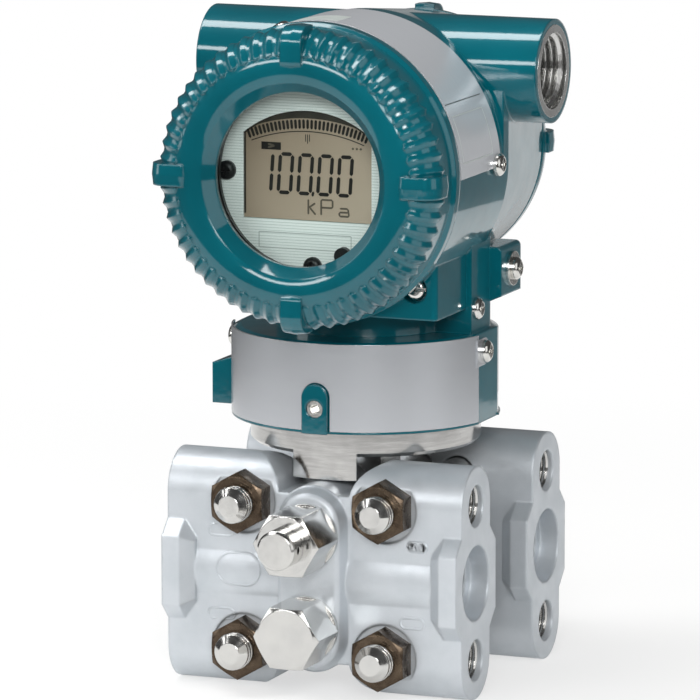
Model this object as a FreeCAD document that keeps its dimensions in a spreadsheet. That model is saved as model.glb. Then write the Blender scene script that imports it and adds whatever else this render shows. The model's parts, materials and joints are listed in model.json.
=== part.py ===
import FreeCAD, Part
import math
import os
import re
import Sketcher

# Differential pressure transmitter: two lobed process flanges clamp a round sensor capsule,
# and a swivelling head on the capsule's neck holds the display, electronics and terminals.
# Frame: +Z up, X along the process ports and the conduit tube, display faces -Y.
# The origin is on the neck axis, in the plane that the flanges stand on. Millimetres.

doc = FreeCAD.newDocument("pressure_transmitter")
dims = doc.addObject("Spreadsheet::Sheet", "dims")
V = FreeCAD.Vector

sizes = {
    # process flanges: 54 mm between ports, 41.3 mm between the two bolt holes beside a port
    "port_spacing": 54.0,
    "hole_spacing": 41.3,
    "lobe_radius": 10.5,
    "flange_width": 83.3,
    "valley_depth": 8.65,
    "valley_half": 19.9,
    "valley_round": 10.0,
    "pad_thickness": 29.8,
    "pad_height": 18.4,
    "pad_reach": 4.9,
    "pad_slope": 4.4,
    "pad_fade": 3.4,
    "rib_radius": 14.6,
    "rib_proud": 1.2,
    "boss_proud": 4.1,
    "boss_radius": 10.2,
    "boss_rise": 14.85,
    "boss_draft": 20.0,
    "boss_round": 0.8,
    "crown_draft": 50.0,
    "port_radius": 6.6,
    "port_depth": 12.0,
    "recess_radius": 10.0,
    "recess_depth": 5.4,
    "stud_hole_radius": 5.55,
    "stud_hole_depth": 13.0,
    "passage_radius": 2.5,
    "chamber_radius": 17.4,
    "chamber_depth": 2.0,
    # capsule, diaphragms and gaskets
    "capsule_radius": 22.4,
    "capsule_thickness": 23.2,
    "gasket_thickness": 0.5,
    "gasket_inner": 17.7,
    "gasket_outer": 21.9,
    "diaphragm_radius": 17.2,
    "diaphragm_thickness": 0.25,
    "dish_radius": 15.6,
    "dish_depth": 1.2,
    "wave_height": 0.45,
    "diaphragm_waves": 6,
    "web_width": 28.8,
    # flange bolts and nuts (3/8 inch)
    "bolt_pitch_wide": 39.8,
    "bolt_pitch_high": 39.4,
    "bolt_radius": 4.76,
    "bolt_clearance": 0.3,
    "spot_radius": 8.9,
    "spot_depth": 1.2,
    "nut_flats": 14.3,
    "nut_thickness": 6.4,
    "head_thickness": 6.2,
    "bolt_protrusion": 5.2,
    "bolt_dome": 1.6,
    "bolt_dome_draft": 50.0,
    "thread_gap": 0.05,
    "hex_face": 0.485,
    "hex_reach": 0.62,
    "hex_drop": 0.08,
    # vent and drain plugs
    "plug_pitch": 24.7,
    "plug_flats": 16.0,
    "plug_collar_radius": 8.6,
    "plug_collar": 1.4,
    "plug_length": 14.5,
    "plug_shank_radius": 6.0,
    "plug_shank": 10.5,
    "plug_end_gap": 1.0,
    "vent_radius": 5.2,
    "vent_length": 6.8,
    "vent_seat": 8.0,
    "vent_seat_gap": 0.5,
    "vent_lift": 0.1,
    "vent_cross_share": 0.45,
    "vent_stem_radius": 3.2,
    "vent_gap": 0.05,
    "vent_cross_radius": 1.0,
    "vent_bevel": 0.6,
    "vent_way_radius": 1.5,
    # neck of the capsule
    "neck_lift": 0.5,
    "neck_radius": 30.8,
    "neck_shoulder": 6.8,
    "neck_bevel": 1.0,
    "shoulder_bevel": 0.6,
    "neck_gap": 0.15,
    "key_half": 9.0,
    "key_gap": 0.3,
    "spigot_radius": 26.0,
    "spigot_height": 17.0,
    "spigot_end_gap": 1.0,
    "swivel_gap": 0.06,
    "neck_seal_height": 12.0,
    "seal_section": 0.8,
    "seal_groove_half": 0.9,
    "seal_groove_depth": 1.8,
    "seal_bite": 0.12,
    "sensor_radius": 8.5,
    "sensor_height": 9.0,
    "sensor_fit": 0.1,
    "sensor_recess": 0.5,
    "sensor_pin_circle": 6.0,
    "sensor_pin_root": 0.5,
    "sensor_pin_radius": 0.5,
    "sensor_pins": 8,
    "sensor_pin_length": 4.5,
    "chamber_gap": 3.0,
    "cable_chamber": 8.0,
    # head casting: skirt, pedestal, barrel and conduit tube
    "skirt_height": 24.0,
    "skirt_radius": 35.4,
    "lip_radius": 35.9,
    "lip_height": 0.6,
    "shoulder_drop": 1.0,
    "shoulder_run": 2.0,
    "skirt_wall_in": 3.0,
    "stalk_top_drop": 10.0,
    "head_rise": 44.8,
    "stalk_radius": 24.0,
    "cable_way_radius": 9.0,
    "column_right": 33.0,
    "column_left": 12.0,
    "column_front": 8.0,
    "column_back": 6.4,
    "cast_corner": 1.5,
    "column_top": 30.0,
    "zero_block_left": 12.0,
    "zero_block_right": 31.5,
    "zero_block_front": 30.0,
    "zero_block_lift": 6.75,
    "earth_boss_right": 36.4,
    "earth_boss_back": 20.4,
    "earth_boss_low": 8.3,
    "earth_boss_high": 21.5,
    "earth_boss_drop": 3.0,
    "earth_screw_in": 7.0,
    "skirt_flat": 34.7,
    "skirt_flat_half": 7.5,
    "barrel_radius": 39.2,
    "barrel_rear_radius": 35.1,
    "barrel_front": 34.2,
    "barrel_straight": 3.0,
    "barrel_back": 40.0,
    "saddle_front": 1.0,
    "front_room_radius": 29.5,
    "front_room_floor": 2.0,
    "rear_room_radius": 29.5,
    "rear_room_floor": 1.5,
    "rear_thread_radius": 31.0,
    "rear_thread_depth": 10.0,
    "front_spigot_radius": 33.0,
    "front_spigot_length": 8.8,
    "spigot_bevel": 0.5,
    "barrel_bevel": 0.8,
    "cover_gap": 0.06,
    "tube_radius": 13.86,
    "tube_length": 96.6,
    "tube_back": 12.25,
    "tube_rise": 23.55,
    "conduit_radius": 10.2,
    "conduit_depth": 18.0,
    "conduit_way_radius": 8.2,
    "tab_width": 7.1,
    "tab_height": 13.2,
    "tab_proud": 1.2,
    "set_screw_rise": 6.6,
    "set_screw_radius": 2.3,
    "set_screw_inset": 0.5,
    "set_screw_gap": 0.6,
    "set_socket_depth": 2.5,
    "left_lug_out": 42.0,
    "left_lug_width": 12.0,
    "left_lug_height": 11.6,
    "left_lug_rise": 2.0,
    # band and nameplate
    "band_thickness": 0.5,
    "band_height": 23.2,
    "band_right_end": -12.5,
    "band_left_end": -168.0,
    "ear_radius": 3.6,
    "ear_rise": 19.1,
    "ear_overlap": 1.5,
    "notch_gap": 0.3,
    "plate_thickness": 0.5,
    "plate_hole_gap": 0.2,
    "plate_front": 33.6,
    "plate_back": 4.5,
    "plate_low_angle": -4.0,
    "plate_high_angle": 128.0,
    "plate_screw_inset": 5.0,
    "plate_screw_back": 2.4,
    "pedestal_screw_back": -4.6,
    "pedestal_screw_rise": 6.5,
    "inner_earth_drop": 23.4,
    "inner_earth_length": 3.0,
    # indicator cover
    "cover_radius": 38.8,
    "cover_bevel": 6.0,
    "rim_radius": 39.8,
    "rim_width": 2.8,
    "rim_slope": 1.0,
    "cover_front": 52.0,
    "rib_count": 60,
    "rib_width": 2.6,
    "rib_height": 0.8,
    "rib_draft": 28.0,
    "rib_root": 2.0,
    "rib_run": 1.6,
    "face_inner_radius": 25.6,
    "face_roll": 8.5,
    "cover_end_gap": 1.2,
    "window_radius": 22.9,
    "window_lip": 1.2,
    "window_drop": 3.4,
    "cover_lugs": 4,
    "lug_width": 5.8,
    "lug_inner": 29.6,
    "lug_outer": 40.4,
    "lug_proud": 1.7,
    "lug_draft": 6.0,
    "lug_root": 2.0,
    "lug_round": 5.0,
    "lug_reach": 7.5,
    "glass_radius": 26.9,
    "glass_thickness": 4.3,
    "glass_gasket": 0.5,
    "glass_gap": 0.12,
    "retainer_thickness": 1.3,
    "retainer_step": 1.5,
    "collar_wall": 2.1,
    "cover_seal_back": 2.4,
    # terminal cover
    "cover_stand_off": 0.3,
    "rear_cover_back": 51.8,
    "rear_cover_wall": 5.0,
    "rear_cover_gap": 0.8,
    "rear_lug_width": 5.6,
    "rear_lug_outer": 36.3,
    "rear_lug_length": 8.5,
    "rear_lug_drop": 0.6,
    "rear_spigot_wall": 4.5,
    "rear_seal_in": 1.5,
    # display and electronics in the front room
    "bezel_radius": 27.6,
    "bezel_front": 37.4,
    "bezel_thickness": 1.0,
    "case_radius": 26.6,
    "case_depth": 12.0,
    "case_wall": 7.0,
    "case_floor": 2.0,
    "glass_left": 19.6,
    "glass_right": 16.2,
    "glass_low": 12.2,
    "glass_high": 10.1,
    "glass_arc_rise": 6.4,
    "lcd_thickness": 2.2,
    "lcd_sink": 0.3,
    "lcd_gap": 0.1,
    "display_screw_circle": 24.2,
    "display_screw_radius": 2.5,
    "display_screw_length": 7.5,
    "display_hole_depth": 8.0,
    "display_hole_gap": 0.05,
    "bezel_hole_gap": 0.15,
    "board_hole_radius": 1.3,
    "button_circle": 22.6,
    "button_angle": -67.6,
    "button_radius": 2.2,
    "button_proud": 1.6,
    "button_length": 4.2,
    "button_end_gap": 0.3,
    "button_travel": 1.0,
    "button_gap": 0.08,
    "board_radius": 27.0,
    "board_thickness": 1.6,
    "board_standoff": 8.0,
    "standoff_radius": 2.4,
    "chip_height": 2.4,
    # terminal compartment
    "block_width": 44.0,
    "block_low": 17.0,
    "block_high": 8.0,
    "block_depth": 13.0,
    "block_step": 5.0,
    "block_step_high": 6.0,
    "barrier_drop": 2.0,
    "terminal_count": 5,
    "terminal_pitch": 8.2,
    "terminal_radius": 3.1,
    "terminal_length": 6.5,
    "terminal_hole_radius": 1.7,
    "terminal_hole_depth": 7.0,
    "barrier_height": 5.0,
    "barrier_width": 1.4,
    "earth_washer_radius": 4.6,
    "screw_head_radius": 3.0,
    "screw_head_height": 1.9,
    "slot_half": 0.14,
    "cross_reach": 0.6,
    "slot_depth": 0.5,
    "head_edge": 0.45,
    "head_crown": 0.55,
    "crown_round": 0.62,
    "screw_length": 4.0,
    "screw_clearance": 0.08,
    "screw_tip_gap": 0.2,
    "earth_washer_thickness": 0.8,
    "feedthrough_radius": 6.0,
    "feedthrough_flange": 2.5,
    "feedthrough_rim": 1.5,
    "feedthrough_pin": 4.0,
    "feedthrough_pins": 3.6,
    "zero_recess": 2.2,
    "zero_stem": 7.5,
    "zero_hole_gap": 0.6,
    "zero_end_gap": 0.3,
    "zero_sink": 0.1,
    "zero_side": 3.5,
    "zero_rise": 8.0,
    "cut_margin": 1.0,
    "rear_cover_round": 10.0,
    "ring_groove_half": 0.9,
    "ring_groove_depth": 1.7,
    "seal_lift": 0.05,
    "plug_socket_flats": 10.0,
    "plug_socket_depth": 7.0,
    "conduit_plug_inset": 0.8,
    "conduit_plug_gap": 1.2,
}

for row, (alias, size) in enumerate(sizes.items(), start=1):
    dims.set("A%d" % row, alias)
    dims.set("B%d" % row, repr(size))
    dims.setAlias("B%d" % row, alias)
doc.recompute()

# Levels and places that follow from the driving sizes
port = "(hole_spacing / 2 + lobe_radius)"
flange_top = "(hole_spacing + 2 * lobe_radius)"
face = "(port_spacing / 2 + lobe_radius)"
seat = "(capsule_thickness / 2 + gasket_thickness)"
boss_face = "(%s + boss_proud)" % face
spot_face = "(%s - spot_depth)" % face
neck_base = "(%s + neck_lift)" % flange_top
shoulder = "(%s + neck_shoulder)" % neck_base
skirt_base = "(%s + neck_gap)" % shoulder
spigot_top = "(%s + spigot_height)" % shoulder
skirt_top = "(%s + skirt_height)" % skirt_base
head = "(%s + head_rise)" % skirt_top
tube_height = "(%s + tube_rise)" % head
band_base = "(%s + lip_height + swivel_gap)" % skirt_base
cover_rear = "(barrel_front + cover_stand_off)"
spigot_front = "(barrel_front + front_spigot_length)"


def words(expression):
    """Points every size name in an expression at the sheet."""
    def named(match):
        return "dims." + match.group(0) if match.group(0) in sizes else match.group(0)
    return re.sub(r"[A-Za-z_]+[A-Za-z_0-9]*", named, str(expression))


def worth(expression):
    """The present value of an expression, as a plain number."""
    return float(dims.evalExpression(words(expression)))


def plane(body, role):
    return next(item for item in body.Origin.OriginFeatures if item.Role == role)


def new_body(label):
    body = doc.addObject("PartDesign::Body", label)
    body.Label = label
    return body


def new_sketch(body, role, offset=None, shift=None):
    sketch = body.newObject("Sketcher::SketchObject", body.Name + "_sketch")
    sketch.AttachmentSupport = [(plane(body, role), "")]
    sketch.MapMode = "FlatFace"
    if offset is not None:
        sketch.setExpression("AttachmentOffset.Base.z", words(offset))
    if shift is not None:
        sketch.setExpression("AttachmentOffset.Base.x", words(shift))
    return sketch


def constrain(sketch, kind, *terms):
    """Adds one dimension whose last term is an expression, bound to the sheet."""
    number = sketch.addConstraint(Sketcher.Constraint(kind, *terms[:-1], worth(terms[-1])))
    sketch.setExpression("Constraints[%d]" % number, words(terms[-1]))


def circle(sketch, x, y, radius):
    centre = V(worth(x), worth(y), 0)
    index = sketch.addGeometry(Part.Circle(centre, V(0, 0, 1), worth(radius)))
    constrain(sketch, "DistanceX", -1, 1, index, 3, x)
    constrain(sketch, "DistanceY", -1, 1, index, 3, y)
    constrain(sketch, "Radius", index, radius)


def arc_between(start, end, radius):
    """Arc through two points: a positive radius bulges to the right of the way from start to end."""
    span = end - start
    side = V(-span.y, span.x, 0).normalize()
    lift = math.sqrt(max(radius * radius - span.Length ** 2 / 4, 0.0))
    centre = (start + end) * 0.5 + side * (lift if radius > 0 else -lift)
    first, last = (start, end) if radius > 0 else (end, start)
    angles = [math.atan2(p.y - centre.y, p.x - centre.x) for p in (first, last)]
    return Part.ArcOfCircle(Part.Circle(centre, V(0, 0, 1), abs(radius)), *angles)


def outline(sketch, corners):
    """Closed outline. A corner (x, y) ends a line, and (x, y, radius) ends an arc."""
    spots = [V(worth(corner[0]), worth(corner[1]), 0) for corner in corners]
    ends = []
    for number, corner in enumerate(corners):
        start, end = spots[number - 1], spots[number]
        if len(corner) == 2:
            index = sketch.addGeometry(Part.LineSegment(start, end))
            ends.append((index, 1, 2))
            continue
        radius = worth(corner[2])
        index = sketch.addGeometry(arc_between(start, end, radius))
        ends.append((index, 1, 2) if radius > 0 else (index, 2, 1))
    for number, corner in enumerate(corners):
        index, _, last = ends[number]
        following, first, _ = ends[(number + 1) % len(ends)]
        sketch.addConstraint(Sketcher.Constraint("Coincident", index, last, following, first))
        constrain(sketch, "DistanceX", -1, 1, index, last, corner[0])
        constrain(sketch, "DistanceY", -1, 1, index, last, corner[1])
        if len(corner) == 3:
            constrain(sketch, "Radius", index, "abs(%s)" % corner[2])


def box_outline(sketch, left, right, low, high):
    outline(sketch, [(left, low), (right, low), (right, high), (left, high)])


def rounded_box(sketch, left, right, low, high, radius):
    """Rectangle with all four corners rounded."""
    west, east = "%s + %s" % (left, radius), "%s - %s" % (right, radius)
    south, north = "%s + %s" % (low, radius), "%s - %s" % (high, radius)
    outline(sketch, [(east, low), (right, south, radius), (right, north), (east, high, radius),
                     (west, high), (left, north, radius), (left, south), (west, low, radius)])


def stadium(sketch, x, y, half, radius):
    """Upright slot shape with round ends, centred on (x, y)."""
    left, right = "%s - %s" % (x, radius), "%s + %s" % (x, radius)
    low, high = "%s - %s" % (y, half), "%s + %s" % (y, half)
    top, bottom = "%s + %s" % (high, radius), "%s - %s" % (low, radius)
    outline(sketch, [(left, low), (x, bottom, radius), (right, low, radius),
                     (right, high), (x, top, radius), (left, high, radius)])


def polygon(sketch, x, y, flats, sides=6, turn=0.0):
    """Regular polygon by its width across flats."""
    corners = []
    for number in range(sides):
        angle = math.radians(turn + 360.0 * number / sides)
        reach = "%s / 2 / cos(180 deg / %d)" % (flats, sides)
        corners.append(("%s + %s * %.6f" % (x, reach, math.cos(angle)),
                        "%s + %s * %.6f" % (y, reach, math.sin(angle))))
    outline(sketch, corners)


def finish(body, feature):
    """Makes the new feature the body's tip and stops at once if it failed."""
    body.Tip = feature
    doc.recompute()
    if "Invalid" in feature.State or "Error" in feature.State or feature.Shape.isNull():
        raise RuntimeError("feature %s of %s failed" % (feature.Name, body.Label))
    return feature


def pad(body, sketch, length, both=False, back=False, draft=None):
    feature = body.newObject("PartDesign::Pad", body.Name + "_pad")
    feature.Profile = sketch
    feature.setExpression("Length", words(length))
    feature.SideType = "Symmetric" if both else "One side"
    feature.Reversed = back
    if draft is not None:
        feature.setExpression("TaperAngle", words(draft))
    return finish(body, feature)


def pocket(body, sketch, length, both=False, back=False):
    before = body.Shape.Volume
    feature = body.newObject("PartDesign::Pocket", body.Name + "_pocket")
    feature.Profile = sketch
    feature.setExpression("Length", words(length))
    feature.SideType = "Symmetric" if both else "One side"
    feature.Reversed = back
    finish(body, feature)
    if body.Shape.Volume > before - 1e-6:
        raise RuntimeError("%s of %s cuts nothing" % (feature.Name, body.Label))
    return feature


def revolve(body, sketch, axis="V_Axis"):
    feature = body.newObject("PartDesign::Revolution", body.Name + "_turned")
    feature.Profile = sketch
    feature.ReferenceAxis = (sketch, [axis])
    feature.Angle = 360.0
    return finish(body, feature)


def groove(body, sketch, axis="V_Axis"):
    before = body.Shape.Volume
    feature = body.newObject("PartDesign::Groove", body.Name + "_groove")
    feature.Profile = sketch
    feature.ReferenceAxis = (sketch, [axis])
    feature.Angle = 360.0
    finish(body, feature)
    if body.Shape.Volume > before - 1e-6:
        raise RuntimeError("%s of %s cuts nothing" % (feature.Name, body.Label))
    return feature


def spread(body, feature, sketch, count, axis="V_Axis"):
    """Polar pattern of one feature round a sketch axis."""
    pattern = body.newObject("PartDesign::PolarPattern", body.Name + "_ring")
    pattern.Originals = [feature]
    pattern.Axis = (sketch, [axis])
    pattern.Angle = 360.0
    pattern.setExpression("Occurrences", words(count))
    return finish(body, pattern)


def mirrored(source, label, normal, height="0"):
    made = doc.addObject("Part::Mirroring", label)
    made.Label = label
    made.Source = source
    made.Normal = normal
    made.setExpression("Base.z", words(height))
    return made


def group(label, members):
    made = doc.addObject("Part::Compound", label)
    made.Label = label
    made.Links = members
    return made


# --- pressure section -------------------------------------------------------------------

def make_flange():
    """Front process flange: one casting with four lobes, end pads, a port rib and a plug boss."""
    body = new_body("front_flange")
    middle = "-port_spacing / 2"
    section = new_sketch(body, "YZ_Plane")
    stadium(section, middle, port, "(hole_spacing / 2)", "lobe_radius")
    pad(body, section, "flange_width", both=True)
    for sign, way in (("+", "-"), ("-", "")):
        valley = new_sketch(body, "XZ_Plane", face)
        rim = "%s %s (hole_spacing / 2 + lobe_radius)" % (port, sign)
        floor = "%s %s (hole_spacing / 2 + lobe_radius - valley_depth)" % (port, sign)
        run = "(valley_half - sqrt(valley_round ^ 2 - (valley_round - valley_depth) ^ 2))"
        outline(valley, [("-valley_half", "%s %s cut_margin" % (rim, sign)), ("-valley_half", rim),
                         ("-" + run, floor, way + "valley_round"), (run, floor),
                         ("valley_half", rim, way + "valley_round"),
                         ("valley_half", "%s %s cut_margin" % (rim, sign))])
        pocket(body, valley, "2 * lobe_radius + cut_margin")
    root = new_sketch(body, "XZ_Plane", "port_spacing / 2")
    stadium(root, "0", port, "boss_rise", "boss_radius")
    pad(body, root, "2 * lobe_radius", both=True)
    for side in (1, -1):
        end = new_sketch(body, "YZ_Plane", "%d * (flange_width / 2 - pad_reach)" % side)
        octagon(end, middle)
        pad(body, end, "pad_reach", back=side < 0)
        fade = new_sketch(body, "YZ_Plane", "%d * (flange_width / 2 - pad_reach)" % side)
        octagon(fade, middle)
        pad(body, fade, "pad_fade", back=side > 0, draft="-45")
    rib = new_sketch(body, "YZ_Plane")
    half = "sqrt(rib_radius ^ 2 - (rib_radius - rib_proud) ^ 2)"
    low, high = "%s - %s" % (port, half), "%s + %s" % (port, half)
    outline(rib, [(middle, low), (middle, high), ("-" + face, high), ("-" + face, low, "rib_radius")])
    pad(body, rib, "flange_width - 2 * pad_reach", both=True)
    boss = new_sketch(body, "XZ_Plane", "%s - cut_margin" % face)
    stadium(boss, "0", port, "boss_rise", "boss_radius")
    pad(body, boss, "boss_proud + cut_margin - boss_round", draft="-boss_draft")
    crown = new_sketch(body, "XZ_Plane", "%s - boss_round" % boss_face)
    narrowed = "(boss_radius - (boss_proud + cut_margin - boss_round) * tan(boss_draft * 1 deg))"
    stadium(crown, "0", port, "boss_rise", narrowed)
    pad(body, crown, "boss_round", draft="-crown_draft")
    seat_face = new_sketch(body, "XZ_Plane", seat)
    circle(seat_face, "0", port, "capsule_radius")
    pad(body, seat_face, "port_spacing / 2 - %s" % seat)
    cut_flange(body)
    return body


def bolt_spots():
    for x in ("-", ""):
        for z in ("-", "+"):
            yield "%sbolt_pitch_wide / 2" % x, "%s %s bolt_pitch_high / 2" % (port, z)


def octagon(sketch, middle):
    """End face of the pad: straight sides with sloping shoulders up to the lobes."""
    wide, narrow = "pad_thickness / 2", "(pad_thickness / 2 - pad_slope)"
    low, high = "%s - pad_height / 2" % port, "%s + pad_height / 2" % port
    bottom, top = low + " - pad_slope", high + " + pad_slope"
    outline(sketch, [("%s - %s" % (middle, wide), low), ("%s - %s" % (middle, narrow), bottom),
                     ("%s + %s" % (middle, narrow), bottom), ("%s + %s" % (middle, wide), low),
                     ("%s + %s" % (middle, wide), high), ("%s + %s" % (middle, narrow), top),
                     ("%s - %s" % (middle, narrow), top), ("%s - %s" % (middle, wide), high)])


def cut_flange(body):
    """Bolt holes with spot faces, port, adapter bolt holes, plug holes and pressure chamber."""
    spots = new_sketch(body, "XZ_Plane", "%s + cut_margin" % face)
    for x, z in bolt_spots():
        circle(spots, x, z, "spot_radius")
    pocket(body, spots, "spot_depth + cut_margin")
    holes = new_sketch(body, "XZ_Plane", "port_spacing / 2")
    for x, z in bolt_spots():
        circle(holes, x, z, "bolt_radius + bolt_clearance")
    pocket(body, holes, "4 * lobe_radius", both=True)
    end = "flange_width / 2"
    for radius, depth in (("recess_radius", "recess_depth"), ("port_radius", "recess_depth + port_depth"),
                          ("passage_radius", "flange_width / 2 + passage_radius")):
        bore = new_sketch(body, "YZ_Plane", end)
        circle(bore, "-port_spacing / 2", port, radius)
        pocket(body, bore, depth)
    studs = new_sketch(body, "YZ_Plane", end)
    for sign in ("-", "+"):
        circle(studs, "-port_spacing / 2", "%s %s hole_spacing / 2" % (port, sign), "stud_hole_radius")
    pocket(body, studs, "stud_hole_depth")
    plugs = new_sketch(body, "XZ_Plane", boss_face)
    for sign in ("-", "+"):
        circle(plugs, "0", "%s %s plug_pitch / 2" % (port, sign), "plug_shank_radius + thread_gap")
    pocket(body, plugs, "plug_shank + plug_end_gap")
    chamber = new_sketch(body, "XZ_Plane", "%s + chamber_depth" % seat)
    circle(chamber, "0", port, "chamber_radius")
    pocket(body, chamber, "chamber_depth + cut_margin", back=False)
    ways = new_sketch(body, "XZ_Plane", "%s + chamber_depth" % seat)
    for sign in ("-", "+"):
        circle(ways, "0", "%s %s plug_pitch / 2" % (port, sign), "passage_radius")
    pocket(body, ways, "%s - %s - chamber_depth - plug_shank" % (boss_face, seat), back=True)
    middle_way = new_sketch(body, "XZ_Plane", "%s + chamber_depth" % seat)
    circle(middle_way, "0", port, "passage_radius")
    pocket(body, middle_way, "port_spacing / 2 - %s - chamber_depth" % seat, back=True)


def make_capsule():
    """Sensor capsule with its web and the round neck that the head turns on."""
    body = new_body("capsule_body")
    disc = new_sketch(body, "XZ_Plane")
    circle(disc, "0", port, "capsule_radius")
    pad(body, disc, "capsule_thickness", both=True)
    web = new_sketch(body, "XZ_Plane")
    box_outline(web, "-web_width / 2", "web_width / 2", port, neck_base)
    pad(body, web, "capsule_thickness", both=True)
    key = new_sketch(body, "XY_Plane", "%s + boss_rise + boss_radius + key_gap" % port)
    reach = "sqrt(neck_radius ^ 2 - key_half ^ 2)"
    outline(key, [("key_half", "-" + reach, "neck_radius"), ("key_half", reach),
                  ("-key_half", reach, "neck_radius"), ("-key_half", "-" + reach)])
    pad(body, key, "%s - (%s + boss_rise + boss_radius + key_gap) + cut_margin" % (neck_base, port))
    neck = new_sketch(body, "XZ_Plane")
    ring = "(%s + neck_seal_height)" % shoulder
    low, high = ring + " - seal_groove_half", ring + " + seal_groove_half"
    cup, cup_floor = "sensor_radius + sensor_fit", spigot_top + " - sensor_height"
    outline(neck, [("0", neck_base), ("neck_radius - neck_bevel", neck_base),
                   ("neck_radius", neck_base + " + neck_bevel"),
                   ("neck_radius", shoulder + " - shoulder_bevel"),
                   ("neck_radius - shoulder_bevel", shoulder),
                   ("spigot_radius", shoulder), ("spigot_radius", low),
                   ("spigot_radius - seal_groove_depth", low), ("spigot_radius - seal_groove_depth", high),
                   ("spigot_radius", high), ("spigot_radius", spigot_top + " - neck_bevel"),
                   ("spigot_radius - neck_bevel", spigot_top), (cup, spigot_top), (cup, cup_floor),
                   ("0", cup_floor)])
    revolve(body, neck)
    for back in (False, True):
        dish = new_sketch(body, "XZ_Plane", ("-" if back else "") + "capsule_thickness / 2")
        circle(dish, "0", port, "dish_radius")
        pocket(body, dish, "dish_depth", back=back)
    return body


def make_gasket():
    body = new_body("front_capsule_gasket")
    ring = new_sketch(body, "XZ_Plane", "capsule_thickness / 2")
    circle(ring, "0", port, "gasket_outer")
    circle(ring, "0", port, "gasket_inner")
    pad(body, ring, "gasket_thickness")
    return body


def make_diaphragm():
    """Thin corrugated seal diaphragm on the capsule's face."""
    body = new_body("front_diaphragm")
    wave = new_sketch(body, "XY_Plane", port)
    near = "-capsule_thickness / 2"
    lower = []
    for crest in range(int(worth("diaphragm_waves")) + 1):
        lift = "+ wave_height" if crest % 2 else ""
        lower.append(("(dish_radius - cut_margin) / diaphragm_waves * %d" % crest, "%s %s" % (near, lift)))
    upper = [(x, y + " - diaphragm_thickness") for x, y in reversed(lower)]
    outline(wave, lower + [("diaphragm_radius", near), ("diaphragm_radius", near + " - diaphragm_thickness")]
            + upper)
    revolve(body, wave)
    return body


def chamfer_hexagon(body, x, z, end, flats, side=-1):
    """Turns the corners off a hexagon whose axis lies along Y and whose end is at the given Y."""
    ring = new_sketch(body, "XY_Plane", z, shift=x)
    inner, outer, drop = "hex_face * " + flats, "hex_reach * " + flats, "hex_drop * " + flats
    back, out = ("%s - %s", "%s + cut_margin") if side > 0 else ("%s + %s", "%s - cut_margin")
    outline(ring, [(inner, end), (outer, back % (end, drop)), (outer, out % end), (inner, out % end)])
    groove(body, ring)


def make_bolt(number, x, z):
    """Hexagon bolt from the rear face to the nut, with a domed end."""
    body = new_body("flange_bolt_%d" % number)
    hexagon = new_sketch(body, "XZ_Plane", "-" + spot_face)
    polygon(hexagon, x, z, "nut_flats", turn=90.0)
    pad(body, hexagon, "head_thickness", back=True)
    chamfer_hexagon(body, x, z, "%s + head_thickness" % spot_face, "nut_flats", side=1)
    shank = new_sketch(body, "XZ_Plane", "-" + spot_face)
    circle(shank, x, z, "bolt_radius")
    pad(body, shank, "2 * %s + nut_thickness + bolt_protrusion - bolt_dome" % spot_face)
    dome = new_sketch(body, "XZ_Plane", "%s + nut_thickness + bolt_protrusion - bolt_dome" % spot_face)
    circle(dome, x, z, "bolt_radius")
    pad(body, dome, "bolt_dome", draft="-bolt_dome_draft")
    return body


def make_nut(number, x, z):
    body = new_body("flange_nut_%d" % number)
    hexagon = new_sketch(body, "XZ_Plane", spot_face)
    polygon(hexagon, x, z, "nut_flats", turn=90.0)
    circle(hexagon, x, z, "bolt_radius + thread_gap")
    pad(body, hexagon, "nut_thickness")
    chamfer_hexagon(body, x, z, "-(%s + nut_thickness)" % spot_face, "nut_flats")
    return body


def make_plug(label, sign, bored):
    """Hexagon plug in the flange boss. The vent plug is bored for its vent screw."""
    body = new_body(label)
    height = "%s %s plug_pitch / 2" % (port, sign)
    shank = new_sketch(body, "XZ_Plane", boss_face)
    circle(shank, "0", height, "plug_shank_radius")
    pad(body, shank, "plug_shank", back=True)
    collar = new_sketch(body, "XZ_Plane", boss_face)
    circle(collar, "0", height, "plug_collar_radius")
    pad(body, collar, "plug_collar")
    hexagon = new_sketch(body, "XZ_Plane", boss_face + " + plug_collar")
    polygon(hexagon, "0", height, "plug_flats")
    pad(body, hexagon, "plug_length")
    chamfer_hexagon(body, "0", height, "-(%s + plug_collar + plug_length)" % boss_face, "plug_flats")
    if bored:
        bore = new_sketch(body, "XZ_Plane", boss_face + " + plug_collar + plug_length")
        circle(bore, "0", height, "vent_stem_radius + vent_gap")
        pocket(body, bore, "vent_seat + vent_seat_gap")
        way = new_sketch(body, "XZ_Plane", boss_face + " + plug_collar + plug_length")
        circle(way, "0", height, "vent_way_radius")
        pocket(body, way, "plug_shank + plug_collar + plug_length + cut_margin")
    return body


def make_vent_screw(label):
    """Vent screw, turned out of the vent plug to bleed the chamber through its cross hole."""
    body = new_body(label)
    height = "%s + plug_pitch / 2" % port
    base = boss_face + " + plug_collar + plug_length + vent_lift"
    knob = new_sketch(body, "XZ_Plane", base)
    circle(knob, "0", height, "vent_radius")
    pad(body, knob, "vent_length - vent_bevel - vent_lift")
    tip = new_sketch(body, "XZ_Plane", base + " + vent_length - vent_bevel - vent_lift")
    circle(tip, "0", height, "vent_radius")
    pad(body, tip, "vent_bevel", draft="-45")
    stem = new_sketch(body, "XZ_Plane", base)
    circle(stem, "0", height, "vent_stem_radius")
    pad(body, stem, "vent_seat", back=True)
    cross = new_sketch(body, "YZ_Plane")
    circle(cross, "-(%s + vent_cross_share * vent_length)" % base, height, "vent_cross_radius")
    pocket(body, cross, "3 * vent_radius", both=True)
    return body


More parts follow.
